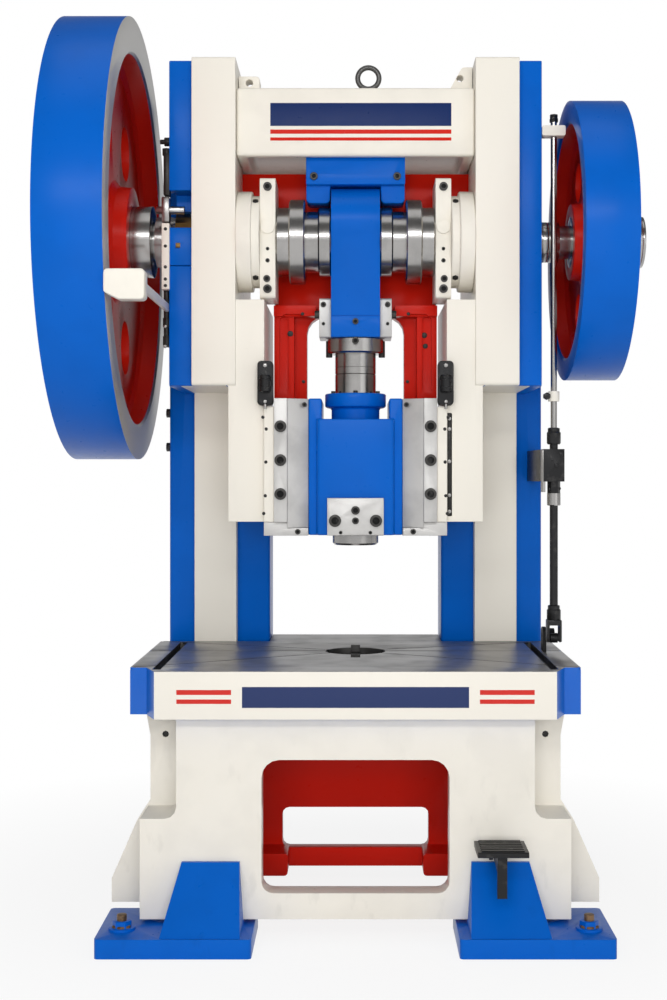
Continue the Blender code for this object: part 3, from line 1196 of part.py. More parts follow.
def pedal():
    """Ribbed foot pedal on a bent stem; the stem turns on a pin in the bracket."""
    tread = prism("pedal", filleted(rect(-PEDAL_FRONT, -PEDAL_FRONT + PEDAL_LENGTH, PEDAL_Z,
                                         PEDAL_Z + PEDAL_THICK), SMALL_ROUND / 2), "X",
                  PEDAL_X - PEDAL_HALF, PEDAL_X + PEDAL_HALF)
    pitch = (PEDAL_LENGTH - SMALL_ROUND) / PEDAL_RIBS
    for index in range(PEDAL_RIBS):
        start = -PEDAL_FRONT + SMALL_ROUND / 2 + (index + PEDAL_RIB_SHARE) * pitch
        rib = prism("rib", rect(start, start + pitch / 2, PEDAL_Z + PEDAL_THICK - PEDAL_RIB,
                                PEDAL_Z + PEDAL_THICK + PEDAL_RIB), "X",
                    PEDAL_X - PEDAL_HALF + SMALL_ROUND, PEDAL_X + PEDAL_HALF - SMALL_ROUND)
        join(tread, rib)
    stem = -PEDAL_FRONT + PEDAL_LENGTH * PEDAL_STEM_SHARE
    outline = [(stem, PEDAL_Z + PEDAL_RIB), (stem, PEDAL_STEM_LOW), (stem + PEDAL_STEM_HALF, PEDAL_STEM_LOW),
               (stem + PEDAL_STEM_HALF, PEDAL_PIVOT_Z - PEDAL_PIN * 2),
               (-PEDAL_PIVOT_Y, PEDAL_PIVOT_Z - PEDAL_PIN), (-PEDAL_PIVOT_Y, PEDAL_PIVOT_Z + PEDAL_PIN),
               (-PEDAL_FRONT + PEDAL_LENGTH - SMALL_ROUND, PEDAL_Z + PEDAL_RIB)]
    left, right = PEDAL_X - PEDAL_STEM_HALF, PEDAL_X + PEDAL_STEM_HALF
    arm = prism("arm", outline, "X", left, right)
    boss = rod("boss", "X", left, right, PEDAL_PIN, (0, -PEDAL_PIVOT_Y, PEDAL_PIVOT_Z))
    pin = rod("pin", "X", left - PEDAL_EAR, right + PEDAL_EAR, PEDAL_PIN / 2,
              (0, -PEDAL_PIVOT_Y, PEDAL_PIVOT_Z), SMALL_STEPS)
    join(tread, arm, boss, pin)
    pivot_on(tread, (PEDAL_X, -PEDAL_PIVOT_Y, PEDAL_PIVOT_Z))
    return paint(tread, RUBBER)


def pedal_bracket():
    """Black bracket on the bed's front with two ears for the pedal's pin."""
    inner = PEDAL_STEM_HALF + PEDAL_EAR_GAP
    outer = inner + PEDAL_EAR
    low, high = PEDAL_PIVOT_Z - PEDAL_ARM_HALF, PEDAL_PIVOT_Z + PEDAL_ARM_HALF
    front = -PEDAL_PIVOT_Y - PEDAL_PIN
    bracket = prism("pedal_bracket", rect(PEDAL_X - outer, PEDAL_X + outer, low, high), "Y", front,
                    -BED_FRONT - GAP)
    room = prism("room", rect(PEDAL_X - inner, PEDAL_X + inner, low - CUT, high + CUT), "Y", front - CUT,
                 -PEDAL_PIVOT_Y + PEDAL_PIN + PEDAL_EAR_GAP)
    bore = rod("bore", "X", PEDAL_X - outer - CUT, PEDAL_X + outer + CUT, PEDAL_PIN / 2 + GAP,
               (0, -PEDAL_PIVOT_Y, PEDAL_PIVOT_Z), SMALL_STEPS)
    return paint(cut(bracket, room, bore), DARK_STEEL)


def eye_bolt():
    """Steel eye bolt in the crown's top: a ring on a collared shank."""
    mesh = bmesh.new()
    loops = []
    for step in range(EYE_STEPS):
        angle = math.tau * step / EYE_STEPS
        loop = []
        for side in range(EYE_SIDES):
            turn = math.tau * side / EYE_SIDES
            reach = EYE_RADIUS + EYE_BAR * math.cos(turn)
            loop.append(mesh.verts.new((EYE_X + reach * math.cos(angle), EYE_BAR * math.sin(turn),
                                        EYE_Z + reach * math.sin(angle))))
        loops.append(loop)
    for step in range(EYE_STEPS):
        here, after = loops[step], loops[(step + 1) % EYE_STEPS]
        for side in range(EYE_SIDES):
            up = (side + 1) % EYE_SIDES
            mesh.faces.new((here[side], here[up], after[up], after[side]))
    ring = part_of("eye_bolt", mesh)
    shank = rod("shank", "Z", CROWN_TOP + GAP, EYE_Z - EYE_RADIUS, EYE_SHANK, (EYE_X, 0, 0))
    join(ring, shank)
    return paint(smooth(ring), STEEL)


def lifting_lug(name, side, width, top, slope):
    """Cream lug on the crown beside a column, with a hole in it."""
    inner, outer = HEAD_INNER - width, HEAD_INNER - LUG_GAP
    outline = [(side * inner, CROWN_TOP + GAP), (side * outer, CROWN_TOP + GAP), (side * outer, top),
               (side * (inner + slope), top)]
    lug = prism(name, filleted(outline, [0, 0, 0, SMALL_ROUND]), "Y", -LUG_THICK / 2, LUG_THICK / 2)
    cut(lug, rod("hole", "Y", -LUG_THICK, LUG_THICK, LUG_HOLE,
                 (side * (inner + outer) / 2, 0, (CROWN_TOP + top) / 2 + LUG_HOLE / 2), HOLE_STEPS))
    return paint(lug, CREAM)


def build():
    """Makes every part of the press."""
    clear_scene()
    for facing, end in ((-1, "front"), (1, "rear")):
        for side, hand in ((-1, "left"), (1, "right")):
            anchor_foot("foot_" + end + "_" + hand, side, facing)
    bed_body()
    table_plate()
    pairs = ((column, "column"), (bearing_flange, "bearing_flange"), (bearing_cap, "bearing_cap"),
             (main_bush, "main_bush"), (gib, "gib"), (gib_strip, "gib_strip"), (gib_guide, "gib_guide"),
             (gib_shoe, "gib_shoe"), (oil_box, "oil_box"))
    for make, name in pairs:
        right = make(name + "_right")
        left = twin(right, name + "_left")
        left.data.materials.clear()
        left.data.materials.append(right.data.materials[0].copy())
    crown_beam()
    crown_bracket()
    slide_casting()
    shaft = crankshaft()
    sleeve = eccentric_sleeve(shaft)
    rod_body = pitman(sleeve)
    clamp_plate("clamp_plate_left", -1, rod_body)
    clamp_plate("clamp_plate_right", 1, rod_body)
    lock_collar(rod_body)
    slide = ram(rod_body)
    adjusting_screw(slide)
    ball_retainer(slide)
    shank_block(slide)
    tool_disc(slide)
    flywheel()
    flywheel_hub(shaft)
    balance_wheel(shaft)
    balance_hub(shaft)
    thrust_collar(shaft)
    rod_arm()
    rod_block()
    operating_rod()
    rocker()
    rocker_bracket()
    brake_shoe()
    pedal()
    pedal_bracket()
    eye_bolt()
    lifting_lug("lifting_lug_left", -1, LUG_LEFT_WIDTH, LUG_LEFT_TOP, 0)
    lifting_lug("lifting_lug_right", 1, LUG_RIGHT_WIDTH, LUG_RIGHT_TOP, LUG_SLOPE)


build()
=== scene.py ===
"""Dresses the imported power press: paint, steel, fasteners, machined marks, camera and light."""
import json
import math

import bmesh
import bpy
from bpy.props import FloatProperty, FloatVectorProperty, PointerProperty
from mathutils import Matrix, Vector

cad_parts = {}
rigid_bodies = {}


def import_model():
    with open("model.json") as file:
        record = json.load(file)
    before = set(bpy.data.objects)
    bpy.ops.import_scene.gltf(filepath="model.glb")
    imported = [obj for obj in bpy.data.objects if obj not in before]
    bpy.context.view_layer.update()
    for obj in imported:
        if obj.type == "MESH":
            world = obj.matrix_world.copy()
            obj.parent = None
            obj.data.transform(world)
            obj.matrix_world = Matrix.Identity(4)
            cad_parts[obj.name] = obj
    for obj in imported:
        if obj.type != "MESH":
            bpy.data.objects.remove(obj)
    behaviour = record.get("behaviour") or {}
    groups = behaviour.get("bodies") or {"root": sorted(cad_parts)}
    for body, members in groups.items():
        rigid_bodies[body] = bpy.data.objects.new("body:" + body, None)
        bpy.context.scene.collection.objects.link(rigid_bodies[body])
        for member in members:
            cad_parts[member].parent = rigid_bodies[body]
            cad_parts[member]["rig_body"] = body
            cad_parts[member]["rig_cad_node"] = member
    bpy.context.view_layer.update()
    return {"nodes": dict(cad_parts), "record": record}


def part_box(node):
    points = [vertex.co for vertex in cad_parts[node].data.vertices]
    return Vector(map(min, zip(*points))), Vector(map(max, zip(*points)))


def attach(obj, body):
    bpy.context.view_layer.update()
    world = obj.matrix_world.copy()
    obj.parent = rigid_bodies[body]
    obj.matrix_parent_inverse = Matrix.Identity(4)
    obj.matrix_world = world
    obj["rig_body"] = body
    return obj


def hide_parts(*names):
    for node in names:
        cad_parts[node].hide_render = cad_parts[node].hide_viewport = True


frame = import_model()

bl_info = {
    "name": "Power Press Dresser",
    "version": (1, 0, 0),
    "blender": (4, 5, 0),
    "location": "View3D > Sidebar > Press",
    "description": "Adds paint, steel, fasteners, camera and light to the power press",
    "category": "Object",
}

CRANK_Z = sum(corner.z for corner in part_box("flywheel")) / 2
SMOOTH_ANGLE = math.radians(35)


def tone(label, note, default):
    """A colour that the sidebar can change, as linear values."""
    return FloatVectorProperty(name=label, description=note, default=default, min=0, max=1, subtype="COLOR")


def length(label, note, default, low, high):
    """A length that the sidebar can change, in metres."""
    return FloatProperty(name=label, description=note, default=default, min=low, max=high, unit="LENGTH")


class PressColours(bpy.types.PropertyGroup):
    """Colours of the paints and metals"""

    cream: tone("Cream", "Paint of the bed, the crown and the ribs", (0.84, 0.80, 0.715))
    blue: tone("Blue", "Paint of the feet, the wheels' rims and the ram", (0.0004, 0.112, 0.53))
    red: tone("Red", "Paint of the wheels' dishes, the casting and the stripes", (0.60, 0.012, 0.004))
    navy: tone("Navy", "Paint of the plain bars on the crown and the table", (0.004, 0.020, 0.105))
    steel: tone("Steel", "Turned and milled steel", (0.42, 0.41, 0.40))
    ground: tone("Ground Steel", "Ground steel of the gibs and clamps", (0.60, 0.59, 0.575))
    plate: tone("Table Steel", "Ground top of the table", (0.36, 0.35, 0.34))
    iron: tone("Wheel Ring", "Turned cast iron of the flywheel's face", (0.50, 0.49, 0.47))
    bronze: tone("Bronze", "Bearing bronze of the bushes", (0.42, 0.25, 0.09))
    rust: tone("Anchor Nuts", "Browned iron of the anchor nuts", (0.23, 0.14, 0.075))
    oiled: tone("Oiled Black", "Oil on black parts", (0.06, 0.058, 0.056))
    black: tone("Black Oxide", "Black parts, such as the oil boxes", (0.018, 0.018, 0.019))
    stud: tone("Studs", "Small black studs and bolts", (0.03, 0.029, 0.028))


class PressSizes(bpy.types.PropertyGroup):
    """Sizes of the fasteners and small fittings"""

    screw_rise: length("Screw Rise", "How far each head stands over the plain one", 0.0028, 0.001, 0.006)
    anchor_nut: length("Anchor Nut", "Corner radius of the anchor nuts", 0.0262, 0.024, 0.032)
    anchor_washer: length("Anchor Washer", "Radius of the washers under them", 0.0372, 0.035, 0.045)
    rod_reach: length("Operating Rod", "Radius of the rod's black tube", 0.0112, 0.011, 0.014)
    coupler_reach: length("Coupling", "Radius of the couplings on the rod", 0.0192, 0.019, 0.022)
    eye_bar: length("Eye Bar", "Radius of the bar of the eye bolt's ring", 0.0072, 0.006, 0.009)
    wheel_hole: length("Flywheel Hole", "Radius of the holes in the flywheel", 0.078, 0.060, 0.085)
    drive_hole: length("Balance Wheel Hole", "Radius of the holes in the other wheel", 0.055, 0.040, 0.060)


def chosen(colour):
    """Gives the colour of that name from the scene's settings, or the colour itself."""
    return tuple(getattr(bpy.context.scene.press_colours, colour)) if isinstance(colour, str) else colour


def size(name):
    """Gives a size from the scene's settings, in metres."""
    return getattr(bpy.context.scene.press_sizes, name)


class Value:
    """One output of a shader node, on which sums can be written."""

    def __init__(self, tree, socket):
        self.tree = tree
        self.socket = socket

    def maths(self, operation, *inputs):
        """Adds a Math node and gives its output."""
        settings = {"operation": operation}
        return add_node(self.tree, "ShaderNodeMath", settings, dict(enumerate(inputs)))

    def __add__(self, other):
        return self.maths("ADD", self, other)

    def __sub__(self, other):
        return self.maths("SUBTRACT", self, other)

    def __rsub__(self, other):
        return self.maths("SUBTRACT", other, self)

    def __mul__(self, other):
        return self.maths("MULTIPLY", self, other)

    def __truediv__(self, other):
        return self.maths("DIVIDE", self, other)

    def __pow__(self, other):
        return self.maths("POWER", self, other)

    def __abs__(self):
        return self.maths("ABSOLUTE", self)

    __radd__ = __add__
    __rmul__ = __mul__

    def above(self, edge, soft=0.0005):
        """1 where the value is over the edge, 0 where it is under, and a ramp that is soft wide between."""
        ramp = self.maths("MULTIPLY_ADD", self, 1 / soft, 0.5 - edge / soft)
        return ramp.maths("MINIMUM", ramp.maths("MAXIMUM", ramp, 0), 1)

    def below(self, edge, soft=0.0005):
        """1 where the value is under the edge and 0 where it is over."""
        return 1 - self.above(edge, soft)

    def between(self, low, high, soft=0.0005):
        """1 from low to high and 0 outside."""
        return self.above(low, soft) * self.below(high, soft)

    def either(self, other):
        """The larger of two masks."""
        return self.maths("MAXIMUM", self, other)


def add_node(tree, kind, settings, inputs, out=0):
    """Adds one shader node: its settings first, then the values or links of its sockets."""
    node = tree.nodes.new(kind)
    for key, value in settings.items():
        setattr(node, key, value)
    for key, value in inputs.items():
        socket = node.inputs[key]
        if isinstance(value, Value):
            tree.links.new(value.socket, socket)
        elif socket.type == "RGBA" and len(value) == 3:
            socket.default_value = (*value, 1)
        else:
            socket.default_value = value
    return Value(tree, node.outputs[out])


class Finish:
    """A material in the making: where a point is, which way it faces, and what is laid over what."""

    def __init__(self, name, colour, roughness, metallic=0.0, coat=0.0, specular=0.5):
        self.material = bpy.data.materials.new(name)
        self.material.use_nodes = True
        self.tree = self.material.node_tree
        self.tree.nodes.clear()
        self.place = self.node("ShaderNodeTexCoord", {}, {}, "Object")
        self.x, self.y, self.z = self.split(self.place)
        facing = self.node("ShaderNodeTexCoord", {}, {}, "Normal")
        self.nx, self.ny, self.nz = self.split(facing)
        self.colour = chosen(colour)
        self.roughness = roughness
        self.metallic = metallic
        self.coat = coat
        self.specular = specular
        self.height = None

    def node(self, kind, settings, inputs, out=0):
        """Adds any node to this material."""
        return add_node(self.tree, kind, settings, inputs, out)

    def split(self, vector):
        """Gives the three parts of a vector."""
        made = self.node("ShaderNodeSeparateXYZ", {}, {0: vector})
        return [Value(self.tree, socket) for socket in made.socket.node.outputs]

    def noise(self, scale, detail=2.0, stretch=(1, 1, 1), roughness=0.5):
        """Gives noise from 0 to 1, with a pattern that repeats about scale times a metre."""
        where = self.node("ShaderNodeMapping", {}, {"Vector": self.place, "Scale": stretch})
        return self.node("ShaderNodeTexNoise", {}, {
            "Vector": where, "Scale": scale, "Detail": detail, "Roughness": roughness})

    def streaks(self, first, second=0.0):
        """Gives noise that varies with two values alone, as lathe marks do."""
        spot = self.node("ShaderNodeCombineXYZ", {}, {"X": first, "Y": second, "Z": 0.0})
        return self.node("ShaderNodeTexNoise", {}, {"Vector": spot, "Scale": 1.0, "Detail": 2.0})

    def mixed(self, mask, under, over, how="MIX"):
        """Mixes two colours by a mask."""
        settings = {"data_type": "RGBA", "blend_type": how}
        return self.node("ShaderNodeMix", settings, {0: mask, 6: chosen(under), 7: chosen(over)}, 2)

    def blend(self, mask, under, over):
        """Mixes two numbers by a mask."""
        return mask * over + (1 - mask) * under

    def zone(self, mask, colour=None, roughness=None, metallic=None, coat=None):
        """Lays another colour or finish over what is there, where the mask is 1."""
        if colour is not None:
            self.colour = self.mixed(mask, self.colour, colour)
        if roughness is not None:
            self.roughness = self.blend(mask, self.roughness, roughness)
        if metallic is not None:
            self.metallic = self.blend(mask, self.metallic, metallic)
        if coat is not None:
            self.coat = self.blend(mask, self.coat, coat)
        return self

    def tint(self, mask, shade):
        """Darkens or lightens the colour by a factor where the mask is 1."""
        self.colour = self.mixed(mask, self.colour, (shade,) * 3, "MULTIPLY")
        return self

    def raise_by(self, height):
        """Adds a height in metres to the bump."""
        self.height = height if self.height is None else self.height + height
        return self

    def make(self):
        """Links the shader and gives the material."""
        inputs = {"Base Color": self.colour, "Roughness": self.roughness, "Metallic": self.metallic,
                  "Coat Weight": self.coat, "Coat Roughness": 0.06, "Specular IOR Level": self.specular}
        if self.height is not None:
            inputs["Normal"] = self.node("ShaderNodeBump", {}, {
                "Strength": 1.0, "Distance": 1.0, "Height": self.height})
        shader = self.node("ShaderNodeBsdfPrincipled", {}, inputs)
        return self.output(shader)

    def output(self, shader):
        """Links a shader to the material's output."""
        end = self.tree.nodes.new("ShaderNodeOutputMaterial")
        self.tree.links.new(shader.socket, end.inputs["Surface"])
        return self.material


CREAM, BLUE, RED, NAVY, STEEL = "cream", "blue", "red", "navy", "steel"

# Gloss paint: roughness, its spread, and the depths of the orange peel and of the wave below it
GLOSS, GLOSS_SPREAD, PAINT_SHEEN = 0.24, 0.12, 0.13
PEEL_DEPTH, WAVE_DEPTH = 0.00004, 0.00018
PATCH_SHADE, DUST_SHADE, DUST_HEIGHT = 0.955, 0.93, 0.5
# Steel: depths of the cutter's marks, how far they stretch, and how dark a stain is
MILLED_DEPTH, LATHE_DEPTH, STRETCH = 0.000012, 0.000010, 0.02
MILLED_PITCH, LATHE_PITCH, FACE_PITCH = 1100, 900, 700
MILLED_STAIN, LATHE_STAIN = 0.84, 0.86
OXIDE_DEPTH, OXIDE_METAL = 0.00003, 0.6


def enamel(name, colour):
    """Gloss paint sprayed on a casting: fine orange peel, a soft wave below it and a little dust."""
    paint = Finish(name, colour, GLOSS, specular=PAINT_SHEEN)
    paint.tint(paint.noise(9, 3).above(0.56, 0.2), PATCH_SHADE)
    dust = paint.noise(26, 4, (1, 1, 0.4))
    paint.tint(dust.above(0.66, 0.1) * paint.z.below(DUST_HEIGHT, 0.5), DUST_SHADE)
    paint.roughness = GLOSS + paint.noise(60, 2) * GLOSS_SPREAD
    paint.raise_by(paint.noise(330, 1) * PEEL_DEPTH)
    return paint.raise_by(paint.noise(24, 2) * WAVE_DEPTH)


def machined(name, colour=STEEL, roughness=0.24, along="x", metal=1.0):
    """Steel as a cutter leaves it: fine parallel marks along one axis, with a faint stain."""
    steel = Finish(name, colour, roughness, metal)
    marks = steel.noise(MILLED_PITCH, 2, [STRETCH if axis == along else 1 for axis in "xyz"])
    stain = steel.noise(11, 4)
    steel.tint(stain.above(0.54, 0.2), MILLED_STAIN)
    steel.roughness = roughness - 0.06 + marks * 0.12 + stain.above(0.6, 0.3) * 0.10
    return steel.raise_by(marks * MILLED_DEPTH)


def turned_steel(name, colour=STEEL, roughness=0.22, axis="x", centre=(0, 0, CRANK_Z)):
    """Steel off a lathe: rings along the axis on the round, and round it on the flat ends."""
    steel = Finish(name, colour, roughness, 1.0)
    length = steel.x if axis == "x" else steel.z
    first = steel.y - centre[1]
    second = steel.z - centre[2] if axis == "x" else steel.x - centre[0]
    radius = (first * first + second * second) ** 0.5
    rings = steel.streaks(length * LATHE_PITCH, radius * LATHE_PITCH)
    steel.tint(steel.noise(14, 3).above(0.55, 0.2), LATHE_STAIN)
    steel.roughness = roughness - 0.06 + rings * 0.14
    return steel.raise_by(rings * LATHE_DEPTH)


def oxide(name, colour="black", roughness=0.42):
    """Black-oxide steel and black iron: a dull film, a little oil, brighter where it is rubbed."""
    film = Finish(name, colour, roughness, OXIDE_METAL)
    film.zone(film.noise(45, 3).above(0.62, 0.1) * 0.5, "oiled", roughness * 0.6)
    return film.raise_by(film.noise(420, 2) * OXIDE_DEPTH)


def bronze(name):
    """Bearing bronze, dulled by oil."""
    metal = turned_steel(name, "bronze", 0.32)
    return metal.tint(metal.noise(30, 3).above(0.5, 0.2), 0.7)


# Lines where one paint meets the other, in metres
LEG_PLATE_FRONT = 0.299
LEG_RIB = (0.352, 0.478)
SHOULDER = 1.427
ARM_OUT, ARM_BACK = 0.349, 0.299
HEAD_RIB_OUT, HEAD_STEP = 0.4455, -0.0785
TABLE_HALF, TABLE_BACK, TABLE_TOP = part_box("table")[1]
TABLE_CORNER, TABLE_FACE_HALF = -0.363, 0.504
TABLE_EDGE, GROOVE = 0.006, 0.0006
BED_ROOM = (-0.332, 0.400)
BED_ROOM_HALF, BED_ROOM_TOP = 0.387, 0.512
RIM, RIM_BORE = 0.508, 0.099
DRIVE_RIM, DRIVE_BORE = 0.323, 0.071
BORE_PAINT_GAP = 0.002

# Bars and stripes: the span across, then a colour and the span in height of each
CROWN_SPAN = (-0.233, 0.262)
CROWN_BARS = [(NAVY, 2.137, 2.200), (RED, 2.1156, 2.1274), (RED, 2.0970, 2.1058)]
TABLE_BAR_HALF, TABLE_BAR = 0.284, (0.6005, 0.6530)
STRIPE_SPAN, STRIPES = (0.311, 0.448), ((0.6330, 0.6455), (0.6105, 0.6218))


def faces_front(paint):
    """1 on faces that look to the front."""
    return paint.ny.below(-0.9, 0.05)


def column_paint(name):
    """Blue columns whose ribs, guide arms and inner heads are cream."""
    paint = enamel(name, BLUE)
    out = abs(paint.x)
    leg = out.between(*LEG_RIB) * paint.y.below(LEG_PLATE_FRONT) * paint.z.below(SHOULDER)
    arm = out.below(ARM_OUT) * paint.y.below(ARM_BACK)
    head = out.below(HEAD_RIB_OUT).either(paint.y.below(HEAD_STEP)) * paint.z.above(SHOULDER)
    return paint.zone(leg.either(arm).either(head), CREAM)


def bed_paint(name):
    """Cream bed, red inside the window and on the wall across it."""
    paint = enamel(name, CREAM)
    room = paint.y.between(*BED_ROOM) * abs(paint.x).below(BED_ROOM_HALF) * paint.z.below(BED_ROOM_TOP)
    return paint.zone(room, RED)


def crown_paint(name):
    """Cream crown with a navy bar over two red stripes."""
    paint = enamel(name, CREAM)
    front = paint.x.between(*CROWN_SPAN) * faces_front(paint)
    for colour, low, high in CROWN_BARS:
        paint.zone(front * paint.z.between(low, high), colour)
    return paint


def table_finish(name):
    """Table ground on top and darkened in its grooves as painted shade, with a cream front between blue
    corners and sides.
    """
    metal = machined(name, "plate", 0.34, "x", 0.8)
    out = abs(metal.x)
    depth = metal.y.between(TABLE_CORNER + TABLE_EDGE, TABLE_BACK - TABLE_EDGE)
    inside = out.below(TABLE_HALF - TABLE_EDGE) * depth
    top = metal.nz.above(0.5, 0.1).either(inside)
    # The grooves and their walls are darkened to a sixth: painted shade in the recesses.
    groove_shade = metal.z.below(TABLE_TOP - GROOVE).either(metal.nz.below(0.5)) * inside
    metal.tint(groove_shade, 0.16)
    metal.tint(metal.noise(2.4, 3, (1, 2, 1)).above(0.5, 0.35) * inside, 0.62)
    painted = 1 - top
    front = faces_front(metal) * out.below(TABLE_FACE_HALF)
    metal.zone(painted, metal.mixed(front, BLUE, CREAM), GLOSS + 0.04, 0.0)
    stripes = metal.z.between(*STRIPES[0]).either(metal.z.between(*STRIPES[1]))
    metal.zone(front * out.between(*STRIPE_SPAN) * stripes * painted, RED)
    return metal.zone(front * out.below(TABLE_BAR_HALF) * metal.z.between(*TABLE_BAR) * painted, NAVY)


def wheel_paint(name, rim, ring, bore):
    """Blue rim, red dish and a face ring that is machined or painted."""
    paint = enamel(name, BLUE)
    rise = paint.z - CRANK_Z
    radius = (paint.y * paint.y + rise * rise) ** 0.5
    side = abs(paint.nx).above(0.6, 0.1)
    if ring:
        face = side * radius.above(rim)
        paint.zone(face, ring, 0.36, 0.75)
        paint.tint(face * paint.streaks(radius * FACE_PITCH).above(0.45, 0.2), LATHE_STAIN)
    paint.zone(radius.below(rim), RED)
    return paint.zone(radius.below(bore + BORE_PAINT_GAP) * (1 - side), STEEL, 0.3, 1.0)


def pairs(*names):
    """The left and the right node of each name."""
    return [name + hand for name in names for hand in ("_left", "_right")]


FEET = pairs("foot_front", "foot_rear")
FINISHES = [
    (column_paint, ["column_paint"], pairs("column")),
    (bed_paint, ["bed_paint"], ["bed"]),
    (table_finish, ["table_finish"], ["table"]),
    (wheel_paint, ["flywheel_paint", RIM, "iron", RIM_BORE], ["flywheel"]),
    (wheel_paint, ["drive_paint", DRIVE_RIM, None, DRIVE_BORE], ["balance_wheel"]),
    (crown_paint, ["crown_paint"], ["crown_beam"]),
    (enamel, ["cream_paint", CREAM],
     pairs("bearing_flange", "bearing_cap", "gib_guide", "lifting_lug") + ["brake_shoe", "rod_arm"]),
    (enamel, ["blue_paint", BLUE], FEET + ["crown_bracket", "pitman", "ball_retainer", "ram"]),
    (enamel, ["red_paint", RED], ["slide_casting"]),
    (machined, ["ground_steel", "ground", 0.40, "x", 0.55],
     pairs("gib", "gib_strip", "gib_shoe", "clamp_plate") + ["shank_block"]),
    (turned_steel, ["turned_crank"], ["crankshaft", "flywheel_hub", "balance_hub", "thrust_collar"]),
    (turned_steel, ["turned_screw", STEEL, 0.22, "z", (0, 0, 0)],
     ["adjusting_screw", "lock_collar", "tool_disc"]),
    (bronze, ["bearing_bronze"], pairs("main_bush") + ["eccentric_sleeve"]),
    (oxide, ["black_oxide"], pairs("oil_box") + [
        "rod_block", "rocker", "rocker_bracket", "pedal_bracket", "eye_bolt", "operating_rod", "pedal"]),
]
MATERIALS = {}
BODY_OF = {node: body for body, nodes in frame["record"]["behaviour"]["bodies"].items() for node in nodes}


class PRESS_OT_finishes(bpy.types.Operator):
    """Give every CAD node its paint or its machined finish"""

    bl_idname = "press.finishes"
    bl_label = "Paint and Machine"

    def execute(self, context):
        for maker, inputs, nodes in FINISHES:
            material = maker(*inputs).make()
            for node in nodes:
                MATERIALS[node] = material
                for slot in frame["nodes"][node].material_slots:
                    slot.material = material
        return {"FINISHED"}


def deselect():
    """Leaves nothing selected, so that the next operator acts on its own object alone."""
    if bpy.context.object and bpy.context.object.mode != "OBJECT":
        bpy.ops.object.mode_set(mode="OBJECT")
    bpy.ops.object.select_all(action="DESELECT")


def choose(piece):
    """Makes one object the selected and active one."""
    deselect()
    piece.select_set(True)
    bpy.context.view_layer.objects.active = piece
    return piece


def settle(piece):
    """Puts an object's place, turn and size into its mesh."""
    choose(piece)
    bpy.ops.object.transform_apply(location=True, rotation=True, scale=True)
    return piece


def apply_modifier(piece, kind, **settings):
    """Adds one modifier with its settings and applies it."""
    choose(piece)
    bpy.ops.object.modifier_add(type=kind)
    modifier = piece.modifiers[-1]
    for key, value in settings.items():
        setattr(modifier, key, value)
    bpy.ops.object.modifier_apply(modifier=modifier.name)
    return piece


def smooth(piece, angle=SMOOTH_ANGLE):
    """Shades an object smooth where its faces meet gently."""
    choose(piece)
    bpy.ops.object.shade_smooth_by_angle(angle=angle)
    return piece


def finish_piece(piece, name, body, material=None, node=None):
    """Names a piece, gives it its finish unless it has its own, and hangs it on its body."""
    settle(piece)
    piece.name = name
    piece.data.name = name
    if material:
        piece.data.materials.clear()
        piece.data.materials.append(material)
    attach(piece, body)
    if node:
        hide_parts(node)
    return piece


def take_place(piece, node, name, finished=False):
    """Puts a piece in the place of one CAD node, with the node's finish unless it is finished."""
    return finish_piece(piece, name, BODY_OF[node], None if finished else MATERIALS[node], node)


def joined(pieces):
    """Joins several objects into the first."""
    deselect()
    for piece in pieces:
        piece.select_set(True)
    bpy.context.view_layer.objects.active = pieces[0]
    if len(pieces) > 1:
        bpy.ops.object.join()
    return bpy.context.object


def copy_of(piece):
    """Copies an object with a mesh of its own."""
    made = piece.copy()
    made.data = piece.data.copy()
    bpy.context.scene.collection.objects.link(made)
    return made


def pick(piece, kind, test):
    """Selects the faces, edges or vertices of the mesh in edit mode that pass a test."""
    mesh = bmesh.from_edit_mesh(piece.data)
    bpy.ops.mesh.select_mode(type=kind)
    bpy.ops.mesh.select_all(action="DESELECT")
    found = {"FACE": mesh.faces, "EDGE": mesh.edges, "VERT": mesh.verts}[kind]
    for item in found:
        item.select = test(item)
    mesh.select_flush_mode()
    bmesh.update_edit_mesh(piece.data)


# Radius of the rounded edges, in metres, and the nodes that have it
ROUNDED = {
    0.008: ["bed"],
    0.007: pairs("column") + ["crown_beam"],
    0.005: FEET + ["crown_bracket"],
    0.004: ["pitman", "ram"] + pairs("bearing_cap", "bearing_flange") + ["slide_casting", "brake_shoe"]
    + pairs("lifting_lug"),
    0.0025: ["table"] + pairs("gib_guide") + ["rod_arm"] + pairs("oil_box")
    + ["rod_block", "rocker", "rocker_bracket", "pedal_bracket"],
    0.0012: pairs("gib", "gib_strip", "gib_shoe", "clamp_plate") + ["shank_block"],
}
MERGE = 0.00001
FLAT_ANGLE = math.radians(0.5)
CAST_ANGLE, WHEEL_ANGLE = math.radians(32), math.radians(38)
SHARP_ANGLE, BLOCK_ANGLE, HEAD_ANGLE = math.radians(30), math.radians(40), math.radians(50)


def rounded_copy(node, width):
    """Copies a CAD node, cleans its flat faces and rounds its sharp edges, as a casting has."""
    piece = copy_of(frame["nodes"][node])
    piece.parent = None
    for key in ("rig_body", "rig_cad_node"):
        if key in piece:
            del piece[key]
    choose(piece)
    bpy.ops.object.mode_set(mode="EDIT")
    bpy.ops.mesh.select_all(action="SELECT")
    bpy.ops.mesh.remove_doubles(threshold=MERGE)
    bpy.ops.mesh.dissolve_limited(angle_limit=FLAT_ANGLE)
    bpy.ops.object.mode_set(mode="OBJECT")
    return apply_modifier(piece, "BEVEL", width=width, segments=3, limit_method="ANGLE",
                          angle_limit=CAST_ANGLE, miter_outer="MITER_ARC", use_clamp_overlap=True)


